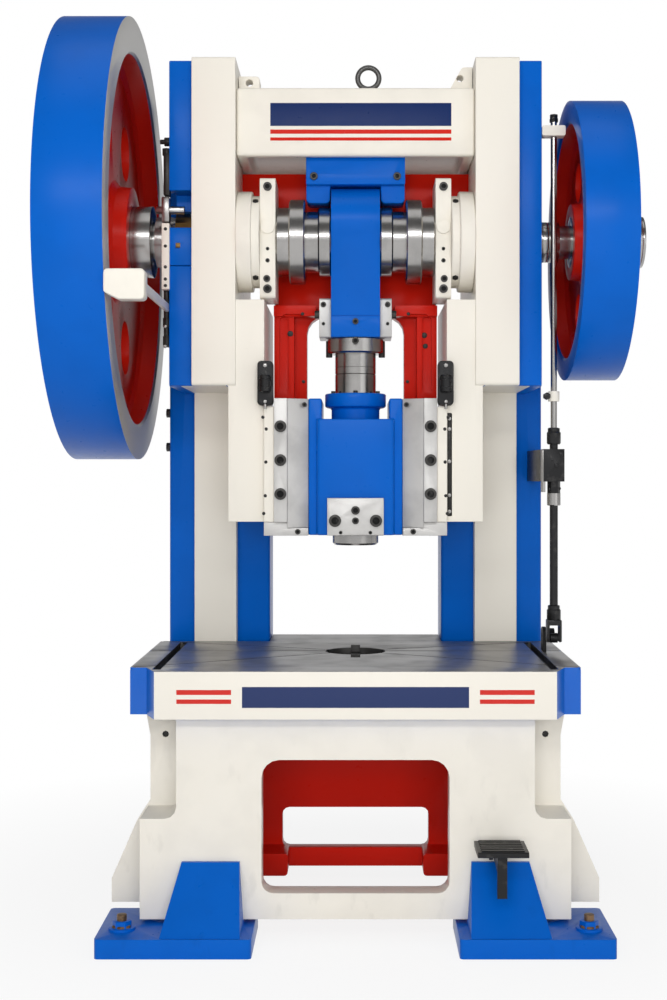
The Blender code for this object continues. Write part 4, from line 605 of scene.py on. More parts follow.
class PRESS_OT_castings(bpy.types.Operator):
    """Stand a copy with rounded edges in the place of each casting and ground block"""

    bl_idname = "press.castings"
    bl_label = "Round the Castings"

    def execute(self, context):
        for width, nodes in ROUNDED.items():
            for node in nodes:
                smooth(take_place(rounded_copy(node, width), node, node + "_body"))
        return {"FINISHED"}


TURN_STEPS, WHEEL_STEPS, ROD_STEPS = 96, 144, 32
LATHE_AXES = {"X": (1, 0, 0), "Z": (0, 0, 1)}
UP, FRONT, BACK = (0, 0, 1), (0, -1, 0), (0, 1, 0)


def turned(profile, axis="X", centre=(0, 0, CRANK_Z), steps=TURN_STEPS):
    """Spins a closed outline of (along, radius) points round an axis, as a lathe does."""
    deselect()
    bpy.ops.mesh.primitive_circle_add(vertices=len(profile), radius=1, location=(0, 0, 0))
    piece = bpy.context.object
    bpy.ops.object.mode_set(mode="EDIT")
    mesh = bmesh.from_edit_mesh(piece.data)
    mesh.verts.ensure_lookup_table()
    for vertex, (along, radius) in zip(mesh.verts, profile):
        vertex.co = Vector((along, 0, radius) if axis == "X" else (radius, 0, along)) + Vector(centre)
    bmesh.update_edit_mesh(piece.data)
    bpy.ops.mesh.select_all(action="SELECT")
    bpy.ops.mesh.spin(steps=steps, angle=math.tau, center=centre, axis=LATHE_AXES[axis])
    bpy.ops.mesh.select_all(action="SELECT")
    bpy.ops.mesh.remove_doubles(threshold=MERGE)
    bpy.ops.mesh.dissolve_degenerate(threshold=MERGE)
    bpy.ops.mesh.normals_make_consistent(inside=False)
    bpy.ops.object.mode_set(mode="OBJECT")
    return piece


def mirrored(profile):
    """Turns an outline of (along, radius) round to the other side of the machine."""
    return [(-along, radius) for along, radius in reversed(profile)]


def edged(piece, width, angle=SHARP_ANGLE, segments=2):
    """Breaks the sharp edges of a piece."""
    return apply_modifier(piece, "BEVEL", width=width, segments=segments, limit_method="ANGLE",
                          angle_limit=angle, use_clamp_overlap=True)


def cylinder(radius, depth, spot=(0, 0, 0), sides=24, turn=(0, 0, 0)):
    """Adds the plain cylinder that a small round or hexagonal part is made from."""
    deselect()
    bpy.ops.mesh.primitive_cylinder_add(vertices=sides, radius=radius, depth=depth,
                                        location=spot, rotation=turn)
    return bpy.context.object


def drilled(piece, cutters):
    """Takes the cutters out of a piece and deletes them."""
    cutter = joined(cutters)
    apply_modifier(piece, "BOOLEAN", operation="DIFFERENCE", solver="EXACT", object=cutter)
    bpy.data.objects.remove(cutter)
    return piece


# Wheels: the steps of their dishes and bosses, in metres, then each wheel's own sizes
RIM_EDGE, RIM_DROP, DISH_DEPTH, DISH_ROUND = 0.006, 0.004, 0.012, 0.018
BOSS_STEP, BOSS_TAPER, BOSS_RISE, BOSS_ROUND = 0.012, 0.014, 0.003, 0.022
HOLE_COUNT, HOLE_SIDES, HOLE_DEPTH = 6, 40, 0.3
WHEEL_EDGE = 0.003
# node: name of the piece, inside of the rim, sides of the web, boss, bore, hole and circle of the holes
WHEELS = {
    "flywheel": ("flywheel_wheel", RIM, (-0.714, -0.669), 0.150, 0.0995, "wheel_hole", 0.325),
    "balance_wheel": ("drive_wheel", DRIVE_RIM, (0.639, 0.674), 0.105, 0.0713, "drive_hole", 0.215),
}


def wheel_side(face, web, way, radius, rim, boss, bore):
    """Outline of one side of a wheel, tread to bore; way is 1 on the left and -1 on the right."""
    return [(face, radius), (face, rim + RIM_EDGE), (face + way * RIM_EDGE, rim),
            (web - way * DISH_DEPTH, rim - RIM_DROP), (web, rim - DISH_ROUND), (web, boss + BOSS_ROUND),
            (web - way * BOSS_TAPER, boss + BOSS_RISE), (face + way * BOSS_STEP, boss),
            (face + way * BOSS_STEP, bore)]


class PRESS_OT_wheels(bpy.types.Operator):
    """Turn the flywheel and the balance wheel with their cast dishes"""

    bl_idname = "press.wheels"
    bl_label = "Turn the Wheels"

    def execute(self, context):
        for node, (name, rim, web, boss, bore, hole, circle) in WHEELS.items():
            low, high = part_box(node)
            own = (high.y, rim, boss, bore)
            profile = wheel_side(low.x, web[0], 1, *own) + wheel_side(high.x, web[1], -1, *own)[::-1]
            holes = []
            for index in range(HOLE_COUNT):
                angle = math.tau * index / HOLE_COUNT
                spot = (sum(web) / 2, circle * math.cos(angle), CRANK_Z + circle * math.sin(angle))
                holes.append(cylinder(size(hole), HOLE_DEPTH, spot, HOLE_SIDES, (0, math.pi / 2, 0)))
            wheel = drilled(turned(profile, steps=WHEEL_STEPS), holes)
            take_place(smooth(edged(wheel, WHEEL_EDGE, WHEEL_ANGLE), math.radians(34)), node, name)
        return {"FINISHED"}


# One end of the crankshaft as (along, radius), from beside the pitman over the webs to the journal
CRANK_WEBS = [(0.0675, 0.092), (0.0715, 0.096), (0.0995, 0.096), (0.1033, 0.092), (0.1033, 0.085),
              (0.1393, 0.085), (0.1393, 0.114), (0.1430, 0.118), (0.1796, 0.118), (0.1833, 0.114),
              (0.1833, 0.097), (0.2150, 0.097), (0.2193, 0.093)]
JOURNAL, JOURNAL_START = 0.0698, 0.2193
RIGHT_NECK, RIGHT_END = 0.514, 0.046
LEFT_NECK, LEFT_END = 0.553, 0.055
SHAFT_EDGE = 0.004
THROW, PIN_HALF, PIN_REACH = 0.025, 0.070, 0.0448
# node: bore, and where its groove is
HUBS = {"flywheel_hub": (0.0555, 0.640), "balance_hub": (0.0465, 0.790), "thrust_collar": (0.0465, 0.535)}
HUB_GROOVE_HALF, HUB_GROOVE_DEPTH, HUB_EDGE = 0.002, 0.0015, 0.002


def crank_end(neck, reach, end):
    """Outline of one end of the crankshaft out to a neck, and of the thinner end that carries a wheel."""
    return CRANK_WEBS + [(JOURNAL_START, JOURNAL), (neck, JOURNAL), (neck, reach), (end - SHAFT_EDGE, reach),
                         (end, reach - SHAFT_EDGE), (end, 0.0), (CRANK_WEBS[0][0], 0.0)]


class PRESS_OT_shaft(bpy.types.Operator):
    """Turn the crankshaft, its pin and the hubs of both wheels"""

    bl_idname = "press.shaft"
    bl_label = "Turn the Crankshaft"

    def execute(self, context):
        low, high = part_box("crankshaft")
        pin_low, pin_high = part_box("eccentric_sleeve")
        middle = (0, 0, (pin_low.z + pin_high.z) / 2 - THROW)
        pin = turned([(-PIN_HALF, 0.0), (-PIN_HALF, PIN_REACH), (PIN_HALF, PIN_REACH), (PIN_HALF, 0.0)],
                     "X", middle)
        shaft = joined([turned(crank_end(RIGHT_NECK, RIGHT_END, high.x)),
                        turned(mirrored(crank_end(LEFT_NECK, LEFT_END, -low.x))), pin])
        smooth(take_place(shaft, "crankshaft", "turned_crankshaft"))
        for node, (bore, groove) in HUBS.items():
            low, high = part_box(node)
            reach = (high.y - low.y) / 2
            start, end = sorted((abs(low.x), abs(high.x)))
            outline = [(start, bore), (end, bore), (end, reach), (groove + HUB_GROOVE_HALF, reach),
                       (groove, reach - HUB_GROOVE_DEPTH), (groove - HUB_GROOVE_HALF, reach), (start, reach)]
            hub = turned(outline if low.x > 0 else mirrored(outline))
            smooth(take_place(edged(hub, HUB_EDGE), node, node + "_turned"))
        return {"FINISHED"}


# Adjusting screw, lock collar, ball retainer and tool disc: radii and heights, in metres
SCREW_REACH, BALL_Z, SCREW_EDGE = 0.057, 1.330, 0.003
SCREW_GROOVE, GROOVE_HALF, GROOVE_DEPTH = 1.462, 0.0012, 0.0022
SCREW_LINE, LINE_HALF, LINE_DEPTH = 1.482, 0.0006, 0.0009
RING_GAP = 0.0009
COLLAR_REACH, COLLAR_LOW, COLLAR_EDGE, COLLAR_CHAMFER = 0.078, 1.520, 0.002, 0.0045
RETAINER_NECK, RETAINER_TOP = 0.067, 1.409
DISC_BORE, DISC_WALL, DISC_EDGE, DISC_CHAMFER = 0.025, 0.0078, 0.002, 0.0055
# Radius, length, edge, sides and place of the collar's studs and of the retainer's heads
COLLAR_STUD = (0.009, 0.046, 0.0015, 24)
COLLAR_STUD_X, COLLAR_STUD_Z = 0.0735, 1.534
RING_HEAD = (0.0062, 0.016, 0.001, 16)
RING_HEADS, RING_CIRCLE, RING_HEAD_Z = 6, 0.071, 1.4075
ROUND_STEPS = 12


def arc(centre, reach, start, end, steps=ROUND_STEPS):
    """Points (along, radius) on an arc round a point of the axis, by angle from the axis in degrees."""
    angles = [math.radians(start + (end - start) * step / steps) for step in range(steps + 1)]
    return [(centre - reach * math.cos(angle), reach * math.sin(angle)) for angle in angles]


def turned_in_place(node, profile, studs=(), places=()):
    """Turns one piece about Z in a CAD node's place, with the dark studs that stand on it."""
    piece = turned(profile, "Z", (0, 0, 0))
    piece.data.materials.append(MATERIALS[node])
    if studs:
        radius, depth, edge, sides = studs
        dark = oxide(node + "_oxide", "stud", 0.38).make()
        parts = [edged(cylinder(radius, depth, place, sides), edge) for place in places]
        for part in parts:
            part.data.materials.append(dark)
        piece = joined([piece] + parts)
    smooth(take_place(piece, node, node + "_turned", True))


class PRESS_OT_turned(bpy.types.Operator):
    """Turn the adjusting screw, its lock collar, the ball retainer and the tool disc"""

    bl_idname = "press.turned"
    bl_label = "Turn the Screw and its Rings"

    def execute(self, context):
        reach, top = SCREW_REACH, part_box("adjusting_screw")[1].z
        screw = arc(BALL_Z, reach, 0, 90)
        for place, half, depth in ((SCREW_GROOVE, GROOVE_HALF, GROOVE_DEPTH),
                                   (SCREW_LINE, LINE_HALF, LINE_DEPTH)):
            screw += [(place, reach), (place + half, reach - depth), (place + 2 * half, reach)]
        screw += [(top - SCREW_EDGE, reach), (top, reach - SCREW_EDGE), (top, 0.0)]
        turned_in_place("adjusting_screw", screw)
        top, bore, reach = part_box("lock_collar")[1].z, SCREW_REACH + RING_GAP, COLLAR_REACH
        collar = [(COLLAR_LOW, bore), (top, bore), (top, reach - COLLAR_EDGE), (top - COLLAR_EDGE, reach),
                  (COLLAR_LOW + COLLAR_CHAMFER, reach), (COLLAR_LOW, reach - COLLAR_CHAMFER)]
        turned_in_place("lock_collar", collar, COLLAR_STUD,
                        [(side * COLLAR_STUD_X, 0, COLLAR_STUD_Z) for side in (-1, 1)])
        low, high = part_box("ball_retainer")
        # Each step of the flange's rounded rim: how far below its top, and how far in from its side
        rim = [(0, 0.004), (0.0012, 0.0012), (0.004, 0), (0.033, 0), (0.0365, 0.0015), (0.039, 0.006)]
        ring = [(low.z, bore), (RETAINER_TOP, bore)]
        ring += [(RETAINER_TOP - down, high.x - inward) for down, inward in rim]
        ring += [(RETAINER_TOP - 0.041, RETAINER_NECK + 0.003), (RETAINER_TOP - 0.045, RETAINER_NECK),
                 (low.z, RETAINER_NECK)]
        angles = [math.tau * (index + 0.5) / RING_HEADS for index in range(RING_HEADS)]
        turned_in_place("ball_retainer", ring, RING_HEAD, [
            (RING_CIRCLE * math.cos(angle), RING_CIRCLE * math.sin(angle), RING_HEAD_Z) for angle in angles])
        low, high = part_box("tool_disc")
        disc = [(low.z, DISC_BORE), (high.z - DISC_WALL, DISC_BORE), (high.z - DISC_WALL, 0.0), (high.z, 0.0),
                (high.z, high.x - DISC_EDGE), (high.z - DISC_EDGE, high.x), (low.z + DISC_CHAMFER, high.x),
                (low.z, high.x - DISC_CHAMFER)]
        turned_in_place("tool_disc", disc)
        return {"FINISHED"}


# Shares of a screw's radius: its rounded edge, the ring round its socket, the socket's wall and its depth
HEAD_EDGE_SHARE, HEAD_RING_SHARE, SOCKET_WALL_SHARE, SOCKET_DEPTH_SHARE = 0.10, 0.30, 0.06, 0.75
# Shares of a nut: its corners by its radius, then its washer and the washer's edge by its height
NUT_EDGE_SHARE, WASHER_SHARE, WASHER_EDGE_SHARE = 0.09, 0.24, 0.04
HEAD_MARGIN = 1.07


def cap_screw(radius, height, materials):
    """Models one socket cap screw, head up: a rounded head whose socket takes a near-black finish as painted
    shade.
    """
    screw = cylinder(radius, height * 2)
    for material in materials:
        screw.data.materials.append(material)
    choose(edged(screw, radius * HEAD_EDGE_SHARE, HEAD_ANGLE))
    bpy.ops.object.mode_set(mode="EDIT")
    pick(screw, "FACE", lambda face: face.normal.z > 0.99)
    bpy.ops.mesh.inset(thickness=radius * HEAD_RING_SHARE, depth=0)
    # The socket takes the second, near-black finish: painted shade in its recess.
    screw.active_material_index = 1
    bpy.ops.object.material_slot_assign()
    bpy.ops.mesh.inset(thickness=radius * SOCKET_WALL_SHARE, depth=-size("screw_rise") * SOCKET_DEPTH_SHARE)
    bpy.ops.object.mode_set(mode="OBJECT")
    return smooth(screw, SHARP_ANGLE)


def hexagon_nut(radius, height, metal, washer):
    """Models one hexagon nut with broken corners and a washer under it."""
    nut = edged(cylinder(radius, height, (0, 0, height / 2), 6), radius * NUT_EDGE_SHARE, HEAD_ANGLE)
    flat = cylinder(washer, height * WASHER_SHARE, (0, 0, height * WASHER_SHARE / 2), 32)
    parts = [nut, edged(flat, height * WASHER_EDGE_SHARE, HEAD_ANGLE)]
    for part in parts:
        part.data.materials.append(metal)
    return smooth(joined(parts), SHARP_ANGLE)


def stand(model, spot, out):
    """Stands a copy of a small part, modelled along Z, on a face that looks along out."""
    piece = copy_of(model)
    turn = Vector(UP).rotation_difference(Vector(out))
    piece.matrix_world = Matrix.Translation(Vector(spot)) @ turn.to_matrix().to_4x4()
    return settle(piece)


def both_sides(places):
    """Adds the mirror image of each place on the other side of the machine."""
    return places + [((-spot[0], spot[1], spot[2]), (-out[0], out[1], out[2]), radius, height)
                     for spot, out, radius, height in places]


def head(x, y, z, radius, height, out=FRONT):
    """One screw that covers the plain head of the CAD, which stands out by height."""
    return ((x, y, z), out, round(radius * HEAD_MARGIN, 5), round(height + size("screw_rise"), 5))


def middle_x(node):
    """Middle of a node between its sides."""
    low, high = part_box(node)
    return (low.x + high.x) / 2


# Faces that carry heads, by their Y, then the heads on each: X or offset, Z or rise, radius and height
STRIP_HEAD_FACE, STRIP_HEAD, STRIP_PITCH = -0.158, (0.0150, 0.010), 0.091
GIB_HEADS = [(-0.018, -0.130, 1.3735, 0.0062, 0.006), (0, -0.140, 1.030, 0.0070, 0.007)]
CAP_HEADS = [(0, -0.085, -0.14, 0.011, 0.006), (0, -0.085, 0.14, 0.011, 0.006),
             (0.002, -0.0845, -0.112, 0.009, 0.003), (0, -0.0845, -0.030, 0.0045, 0.0002),
             (0, -0.0845, -0.062, 0.0055, 0.0002)]
BRACKET_HEAD = (0.1146, -0.060, 2.006, 0.010, 0.006)
RAM_FACE = -0.1623
RAM_HEADS = [(0.055, 1.060, 0.0155, 0.008), (-0.055, 1.060, 0.0155, 0.008), (0, 1.088, 0.011, 0.0055),
             (0, 1.060, 0.0088, 0.0045), (0.040, 1.028, 0.0045, 0), (-0.040, 1.028, 0.0045, 0)]
CLAMP_BOLT = (0.100, -0.030, 1.628, 0.0105, 0.0105, (1, 0, 0))
CLAMP_HEADS = [(0.0885, -0.060, 1.653, 0.0072, 0.002), (0.0885, -0.060, 1.600, 0.0045, 0.0005)]
PITMAN_HEADS = [(0, -0.078, 1.5515, 0.009, 0.009), (0, -0.085, 1.604, 0.008, 0.004)]


def screw_places():
    """Where the cap screws of each body are."""
    strip, gib, cap = (middle_x(node) for node in ("gib_strip_right", "gib_right", "bearing_cap_right"))
    low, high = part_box("gib_strip_right")
    fixed = [head(strip, STRIP_HEAD_FACE, (low.z + high.z) / 2 + step * STRIP_PITCH, *STRIP_HEAD)
             for step in (-1, 0, 1)]
    fixed += [head(gib + offset, *rest) for offset, *rest in GIB_HEADS]
    fixed += [head(cap + offset, y, CRANK_Z + rise, *rest) for offset, y, rise, *rest in CAP_HEADS]
    return {"frame": both_sides(fixed + [head(*BRACKET_HEAD)]),
            "ram": [head(x, RAM_FACE, *rest) for x, *rest in RAM_HEADS],
            "pitman": both_sides([head(*place) for place in [CLAMP_BOLT] + CLAMP_HEADS])
            + [head(*place) for place in PITMAN_HEADS]}


class PRESS_OT_screws(bpy.types.Operator):
    """Set the socket cap screws of the frame, the ram and the pitman"""

    bl_idname = "press.screws"
    bl_label = "Set the Cap Screws"

    def execute(self, context):
        # The second finish is near black: painted shade for the sockets.
        metals = [oxide("screw_oxide", (0.055, 0.053, 0.050), 0.36).make(),
                  oxide("screw_socket", (0.006, 0.006, 0.006), 0.6).make()]
        for body, places in screw_places().items():
            models = {kind: cap_screw(*kind, metals) for kind in dict.fromkeys(place[2:] for place in places)}
            made = [stand(models[radius, height], spot, out) for spot, out, radius, height in places]
            for model in models.values():
                bpy.data.objects.remove(model)
            finish_piece(joined(made), body + "_screws", body)
        return {"FINISHED"}


# Anchors in the feet, in metres
ANCHOR_X, ANCHOR_FRONT, ANCHOR_REAR, ANCHOR_SEAT, NUT_HEIGHT = 0.584, -0.445, 0.515, 0.0475, 0.0245
ANCHOR_STUD, ANCHOR_STUD_LENGTH, ANCHOR_STUD_Z, ANCHOR_STUD_EDGE = 0.0125, 0.056, 0.058, 0.002


class PRESS_OT_anchors(bpy.types.Operator):
    """Set the anchor nuts, washers and studs on the four feet"""

    bl_idname = "press.anchors"
    bl_label = "Set the Anchors"

    def execute(self, context):
        metal = oxide("anchor_metal", "rust", 0.38)
        metal = metal.tint(metal.noise(70, 3).above(0.5, 0.2), 0.5).make()
        for node in FEET:
            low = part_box(node)[0]
            across, along = math.copysign(ANCHOR_X, low.x), ANCHOR_FRONT if low.y < 0 else ANCHOR_REAR
            model = hexagon_nut(size("anchor_nut"), NUT_HEIGHT, metal, size("anchor_washer"))
            nut = stand(model, (across, along, ANCHOR_SEAT), UP)
            bpy.data.objects.remove(model)
            stud = cylinder(ANCHOR_STUD, ANCHOR_STUD_LENGTH, (across, along, ANCHOR_STUD_Z), 32)
            edged(stud, ANCHOR_STUD_EDGE)
            stud.data.materials.append(metal)
            finish_piece(smooth(joined([nut, stud])), node + "_anchor", "frame")
        return {"FINISHED"}


def block(low, high, edge=0.002, segments=2):
    """Models one block between two corners, with broken edges."""
    low, high = Vector(low), Vector(high)
    deselect()
    bpy.ops.mesh.primitive_cube_add(size=1, location=(low + high) / 2)
    piece = bpy.context.object
    piece.scale = high - low
    return edged(settle(piece), edge, BLOCK_ANGLE, segments)


def bar(radius, start, end, sides=24, edge=0.0012):
    """Models one round or hexagonal bar between two points, with broken edges."""
    start, end = Vector(start), Vector(end)
    along = end - start
    turn = along.to_track_quat("Z", "Y").to_euler()
    return edged(settle(cylinder(radius, along.length, (start + end) / 2, sides, turn)), edge, BLOCK_ANGLE)


def assembled(name, body, groups):
    """Joins small parts into one piece; groups pairs each finish with the parts made in it."""
    made = []
    for material, parts in groups:
        for part in parts:
            part.data.materials.clear()
            part.data.materials.append(material)
            made.append(part)
    return smooth(finish_piece(joined(made), name, body))


def landing(node, start, toward):
    """Finds where a straight line first meets the finished piece of a node."""
    found, spot, _, _ = bpy.data.objects[node + "_body"].ray_cast(Vector(start), Vector(toward))
    if not found:
        raise RuntimeError("nothing of " + node + " stands in the line")
    return spot


def front_stud(node, x, z, radius, sides=16, proud=0.0015):
    """Makes a short stud that stands a little out of a piece's front."""
    face = landing(node, (x, -1, z), BACK).y
    return bar(radius, (x, face + STUD_SEAT, z), (x, face - proud, z), sides)


STUD_SEAT = 0.004
# Raised strip on the outer front of the heads: height, sides, face, seat and edge
HEAD_SPAN = (1.428, 2.318)
STRIP_IN, STRIP_OUT, STRIP_FACE, STRIP_SEAT, STRIP_EDGE = 0.4455, 0.5105, -0.0880, -0.0770, 0.003
# Left head: the block under its pocket, the slot in it and the pocket, as (low corner, high corner, edge)
LUG_BLOCK, LUG_GAP, POCKET_TOP = (1.757, 1.861), 0.0015, 1.962
LUG_SLOT = ((-0.493, -0.098, 1.803), (-0.480, -0.080, 1.819), 0.001)
POCKET = ((-0.520, -0.140, 1.861), (-0.4485, -0.012, POCKET_TOP), 0.004)
# Slot beside the right guide: its height, gap, width, half depth and edge, then the dark block in it, which
# is painted shade, and its studs
SLOT, SLOT_GAP, SLOT_WIDTH, SLOT_HALF, SLOT_EDGE = (1.071, 1.352), 0.0005, 0.014, 0.010, 0.003
SLOT_MIDDLE, SLOT_PROBE_Z = 0.0075, 1.200
SHADE_BLOCK_PLAY, SHADE_BLOCK_RECESS, SHADE_BLOCK_BACK, SHADE_BLOCK_EDGE = 0.0002, 0.0015, 0.011, 0.0028
TIP, TIP_RISE, TIPS = 0.0050, 0.0012, (1.336, 1.308, 1.220, 1.128, 1.084)


class PRESS_OT_facings(bpy.types.Operator):
    """Face the outer front of both heads, and cut the left one's pocket and the right guide's slot"""

    bl_idname = "press.facings"
    bl_label = "Face the Heads"

    def execute(self, context):
        blue = enamel("facing_paint", BLUE).make()
        bottom, top = HEAD_SPAN
        strip = block((STRIP_IN, STRIP_FACE, bottom), (STRIP_OUT, STRIP_SEAT, top), STRIP_EDGE)
        finish_piece(smooth(strip), "head_facing_right", "frame", blue)
        parts = [block((-STRIP_OUT, STRIP_FACE, low), (-STRIP_IN, STRIP_SEAT, high), STRIP_EDGE)
                 for low, high in ((bottom, LUG_BLOCK[0] - LUG_GAP), LUG_BLOCK, (POCKET_TOP, top))]
        drilled(parts[1], [block(*LUG_SLOT)])
        finish_piece(smooth(joined(parts)), "head_facing_left", "frame", blue)
        drilled(bpy.data.objects["column_left_body"], [block(*POCKET)])
        self.slot()
        return {"FINISHED"}

    def slot(self):
        """Cuts the slot beside the right guide, with a near-black block in it as painted shade, and the studs
        in it.
        """
        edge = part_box("gib_guide_right")[1].x
        near, far, middle = edge + SLOT_GAP, edge + SLOT_GAP + SLOT_WIDTH, edge + SLOT_MIDDLE
        face = landing("column_right", (middle, -1, SLOT_PROBE_Z), BACK).y
        bottom, top = SLOT
        drilled(bpy.data.objects["column_right_body"],
                [block((near, face - SLOT_HALF, bottom), (far, face + SLOT_HALF, top), SLOT_EDGE)])
        # A near-black block just behind the face fills the slot: painted shade of the recess.
        slot_shade_block = block((near + SHADE_BLOCK_PLAY, face + SHADE_BLOCK_RECESS, bottom + SHADE_BLOCK_PLAY),
                      (far - SHADE_BLOCK_PLAY, face + SHADE_BLOCK_BACK, top - SHADE_BLOCK_PLAY), SHADE_BLOCK_EDGE)
        tips = [bar(TIP, (middle, face - TIP_RISE, z), (middle, face + STUD_SEAT, z), 16) for z in TIPS]
        assembled("guide_slot", "frame", [(oxide("slot_oxide", (0.025, 0.024, 0.023), 0.42).make(), [slot_shade_block]),
                                          (machined("slot_steel", STEEL, 0.30, "z").make(), tips)])


# Clutch stop: blocks as (low corner, high corner, edge) and bars as (radius, start, end, sides), in metres
STOP = ((-0.5295, -0.100, 1.690), (-0.5085, -0.060, 1.871), 0.002)
PAWL = ((-0.5305, -0.098, 1.875), (-0.5085, -0.060, 1.944), 0.004)
PAWL_PIN = (0.011, (-0.5455, -0.085, 1.908), (-0.4685, -0.085, 1.908), 6)
HUNG_BLOCKS = [((-0.5265, -0.088, 1.948), (-0.5085, -0.055, 2.066), 0.005),
               ((-0.5205, -0.075, 1.535), (-0.5085, -0.045, 1.690), 0.002)]
HUNG_BARS = [(0.0125, (-0.519, -0.075, 2.060), (-0.519, -0.075, 2.079), 6),
             (0.012, (-0.5265, -0.060, 2.101), (-0.5085, -0.060, 2.101), 24),
             (0.007, (-0.5385, -0.060, 2.101), (-0.5085, -0.060, 2.101), 6)]
STOP_X, STOP_HEAD, STOP_HEADS = -0.519, 0.0046, (1.700, 1.718, 1.751, 1.808, 1.855)
STOP_HEAD_SPAN = (-0.1016, -0.096)
TIP_X, TIP_REACH, TIP_SPAN, TIP_PLACES = -0.5215, 0.0045, (-0.0905, -0.082), (1.590, 1.535)
# The stack under the stop: its middle, half a link, the first link's height and (radius, sides) in turn
STACK_Y, STACK_HALF, STACK_TOP, STACK = -0.078, 0.0125, 1.676, [(0.0075, 24), (0.0105, 6)] * 3
# Bolts in the side of the left leg: their Y, radius, height out of it, depth in it and Z
LEG_FACE, LEG_BOLT, LEG_BOLT_RISE, LEG_BOLT_SEAT, LEG_BOLTS = 0.322, 0.0135, 0.012, 0.002, (1.369, 1.267)


class PRESS_OT_clutch(bpy.types.Operator):
    """Add the clutch stop and its fasteners between the flywheel and the left column"""

    bl_idname = "press.clutch"
    bl_label = "Add the Clutch Stop"

    def execute(self, context):
        front, back = STOP_HEAD_SPAN
        dark = [bar(STOP_HEAD, (STOP_X, front, z), (STOP_X, back, z)) for z in STOP_HEADS]
        dark += [block(*row) for row in HUNG_BLOCKS] + [bar(*row) for row in HUNG_BARS]
        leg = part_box("column_left")[0].x
        dark += [bar(LEG_BOLT, (leg - LEG_BOLT_RISE, LEG_FACE, z), (leg + LEG_BOLT_SEAT, LEG_FACE, z), 6)
                 for z in LEG_BOLTS]
        for index, (radius, sides) in enumerate(STACK):
            z = STACK_TOP - index * 2 * STACK_HALF
            start, end = ((STOP_X, STACK_Y, z + half) for half in (-STACK_HALF, STACK_HALF))
            dark.append(bar(radius, start, end, sides))
        front, back = TIP_SPAN
        bright = [block(*PAWL), bar(*PAWL_PIN)]
        bright += [bar(TIP_REACH, (TIP_X, front, z), (TIP_X, back, z)) for z in TIP_PLACES]
        assembled("clutch_stop", "frame", [(enamel("clutch_paint", CREAM).make(), [block(*STOP)]),
                                           (oxide("clutch_oxide", "stud", 0.38).make(), dark),
                                           (machined("clutch_steel", STEEL, 0.28, "z").make(), bright)])
        return {"FINISHED"}


# Operating rod: its axis and thin end, then the outline of a coupling as (height over its foot, radius)
ROD_X, ROD_Y, ROD_THIN, ROD_TIP = 0.545, -0.072, 0.0086, 0.004
TUBE_START, JOINT_RISE, COUPLING_FOOT = 0.790, 0.013, 0.780
THIN_STEP, COUPLING_NECK, COUPLING_BORE = 0.003, 0.0165, 0.0125
FORK_HALF, FORK_TOP, FORK_EDGE = 0.020, 0.786, 0.003
FORK_GAP, FORK_CUT, FORK_ROOF, FORK_DROP = 0.0135, 0.030, 0.771, 0.01
# Nuts over the rod's arm as (radius, start, end), heads on its block as (X, from its top or foot, Z, radius)
ROD_NUTS = [(0.0128, 0.0122, 0.0225), (0.0118, 0.0235, 0.0330)]
BLOCK_HEADS = [(0.5620, 1, -0.0140, 0.0055), (0.5600, 0, 0.014, 0.0042), (0.5330, 0, 0.012, 0.0032),
               (0.5380, 1, -0.030, 0.0030)]
# Sleeve under the block as (height over the block's foot, radius)
SLEEVE = [(-0.033, 0.0125), (0.001, 0.0125), (0.001, 0.0185), (-0.031, 0.0185), (-0.033, 0.0165)]
PLATE_IN, PLATE_OUT, PLATE_FRONT, PLATE_BACK = 0.5118, 0.5200, 0.018, 0.024
PLATE_FOOT, PLATE_HEAD, THIN_EDGE = 0.004, 0.002, 0.001
CLAMP_RING, CLAMP_SPAN = 0.0155, (1.385, 1.413)
CLAMP_ARM = ((PLATE_IN, ROD_Y - 0.008, 1.391), (ROD_X, ROD_Y + 0.012, 1.408))
CLAMP_BORE, CLAMP_CUT = ROD_THIN + 0.001, (1.37, 1.43)
CLAMP_KNOB = (0.0105, (0.524, ROD_Y - 0.004, 1.399), (0.524, ROD_Y - 0.022, 1.399), 6)


def on_rod(low, high, radius, sides=ROD_STEPS):
    """Makes a bar round the operating rod's axis."""
    return bar(radius, (ROD_X, ROD_Y, low), (ROD_X, ROD_Y, high), sides)


def round_rod(profile, lift=0.0):
    """Turns an outline of (height, radius) points round the operating rod's axis."""
    return turned([(z + lift, radius) for z, radius in profile], "Z", (ROD_X, ROD_Y, 0), ROD_STEPS)


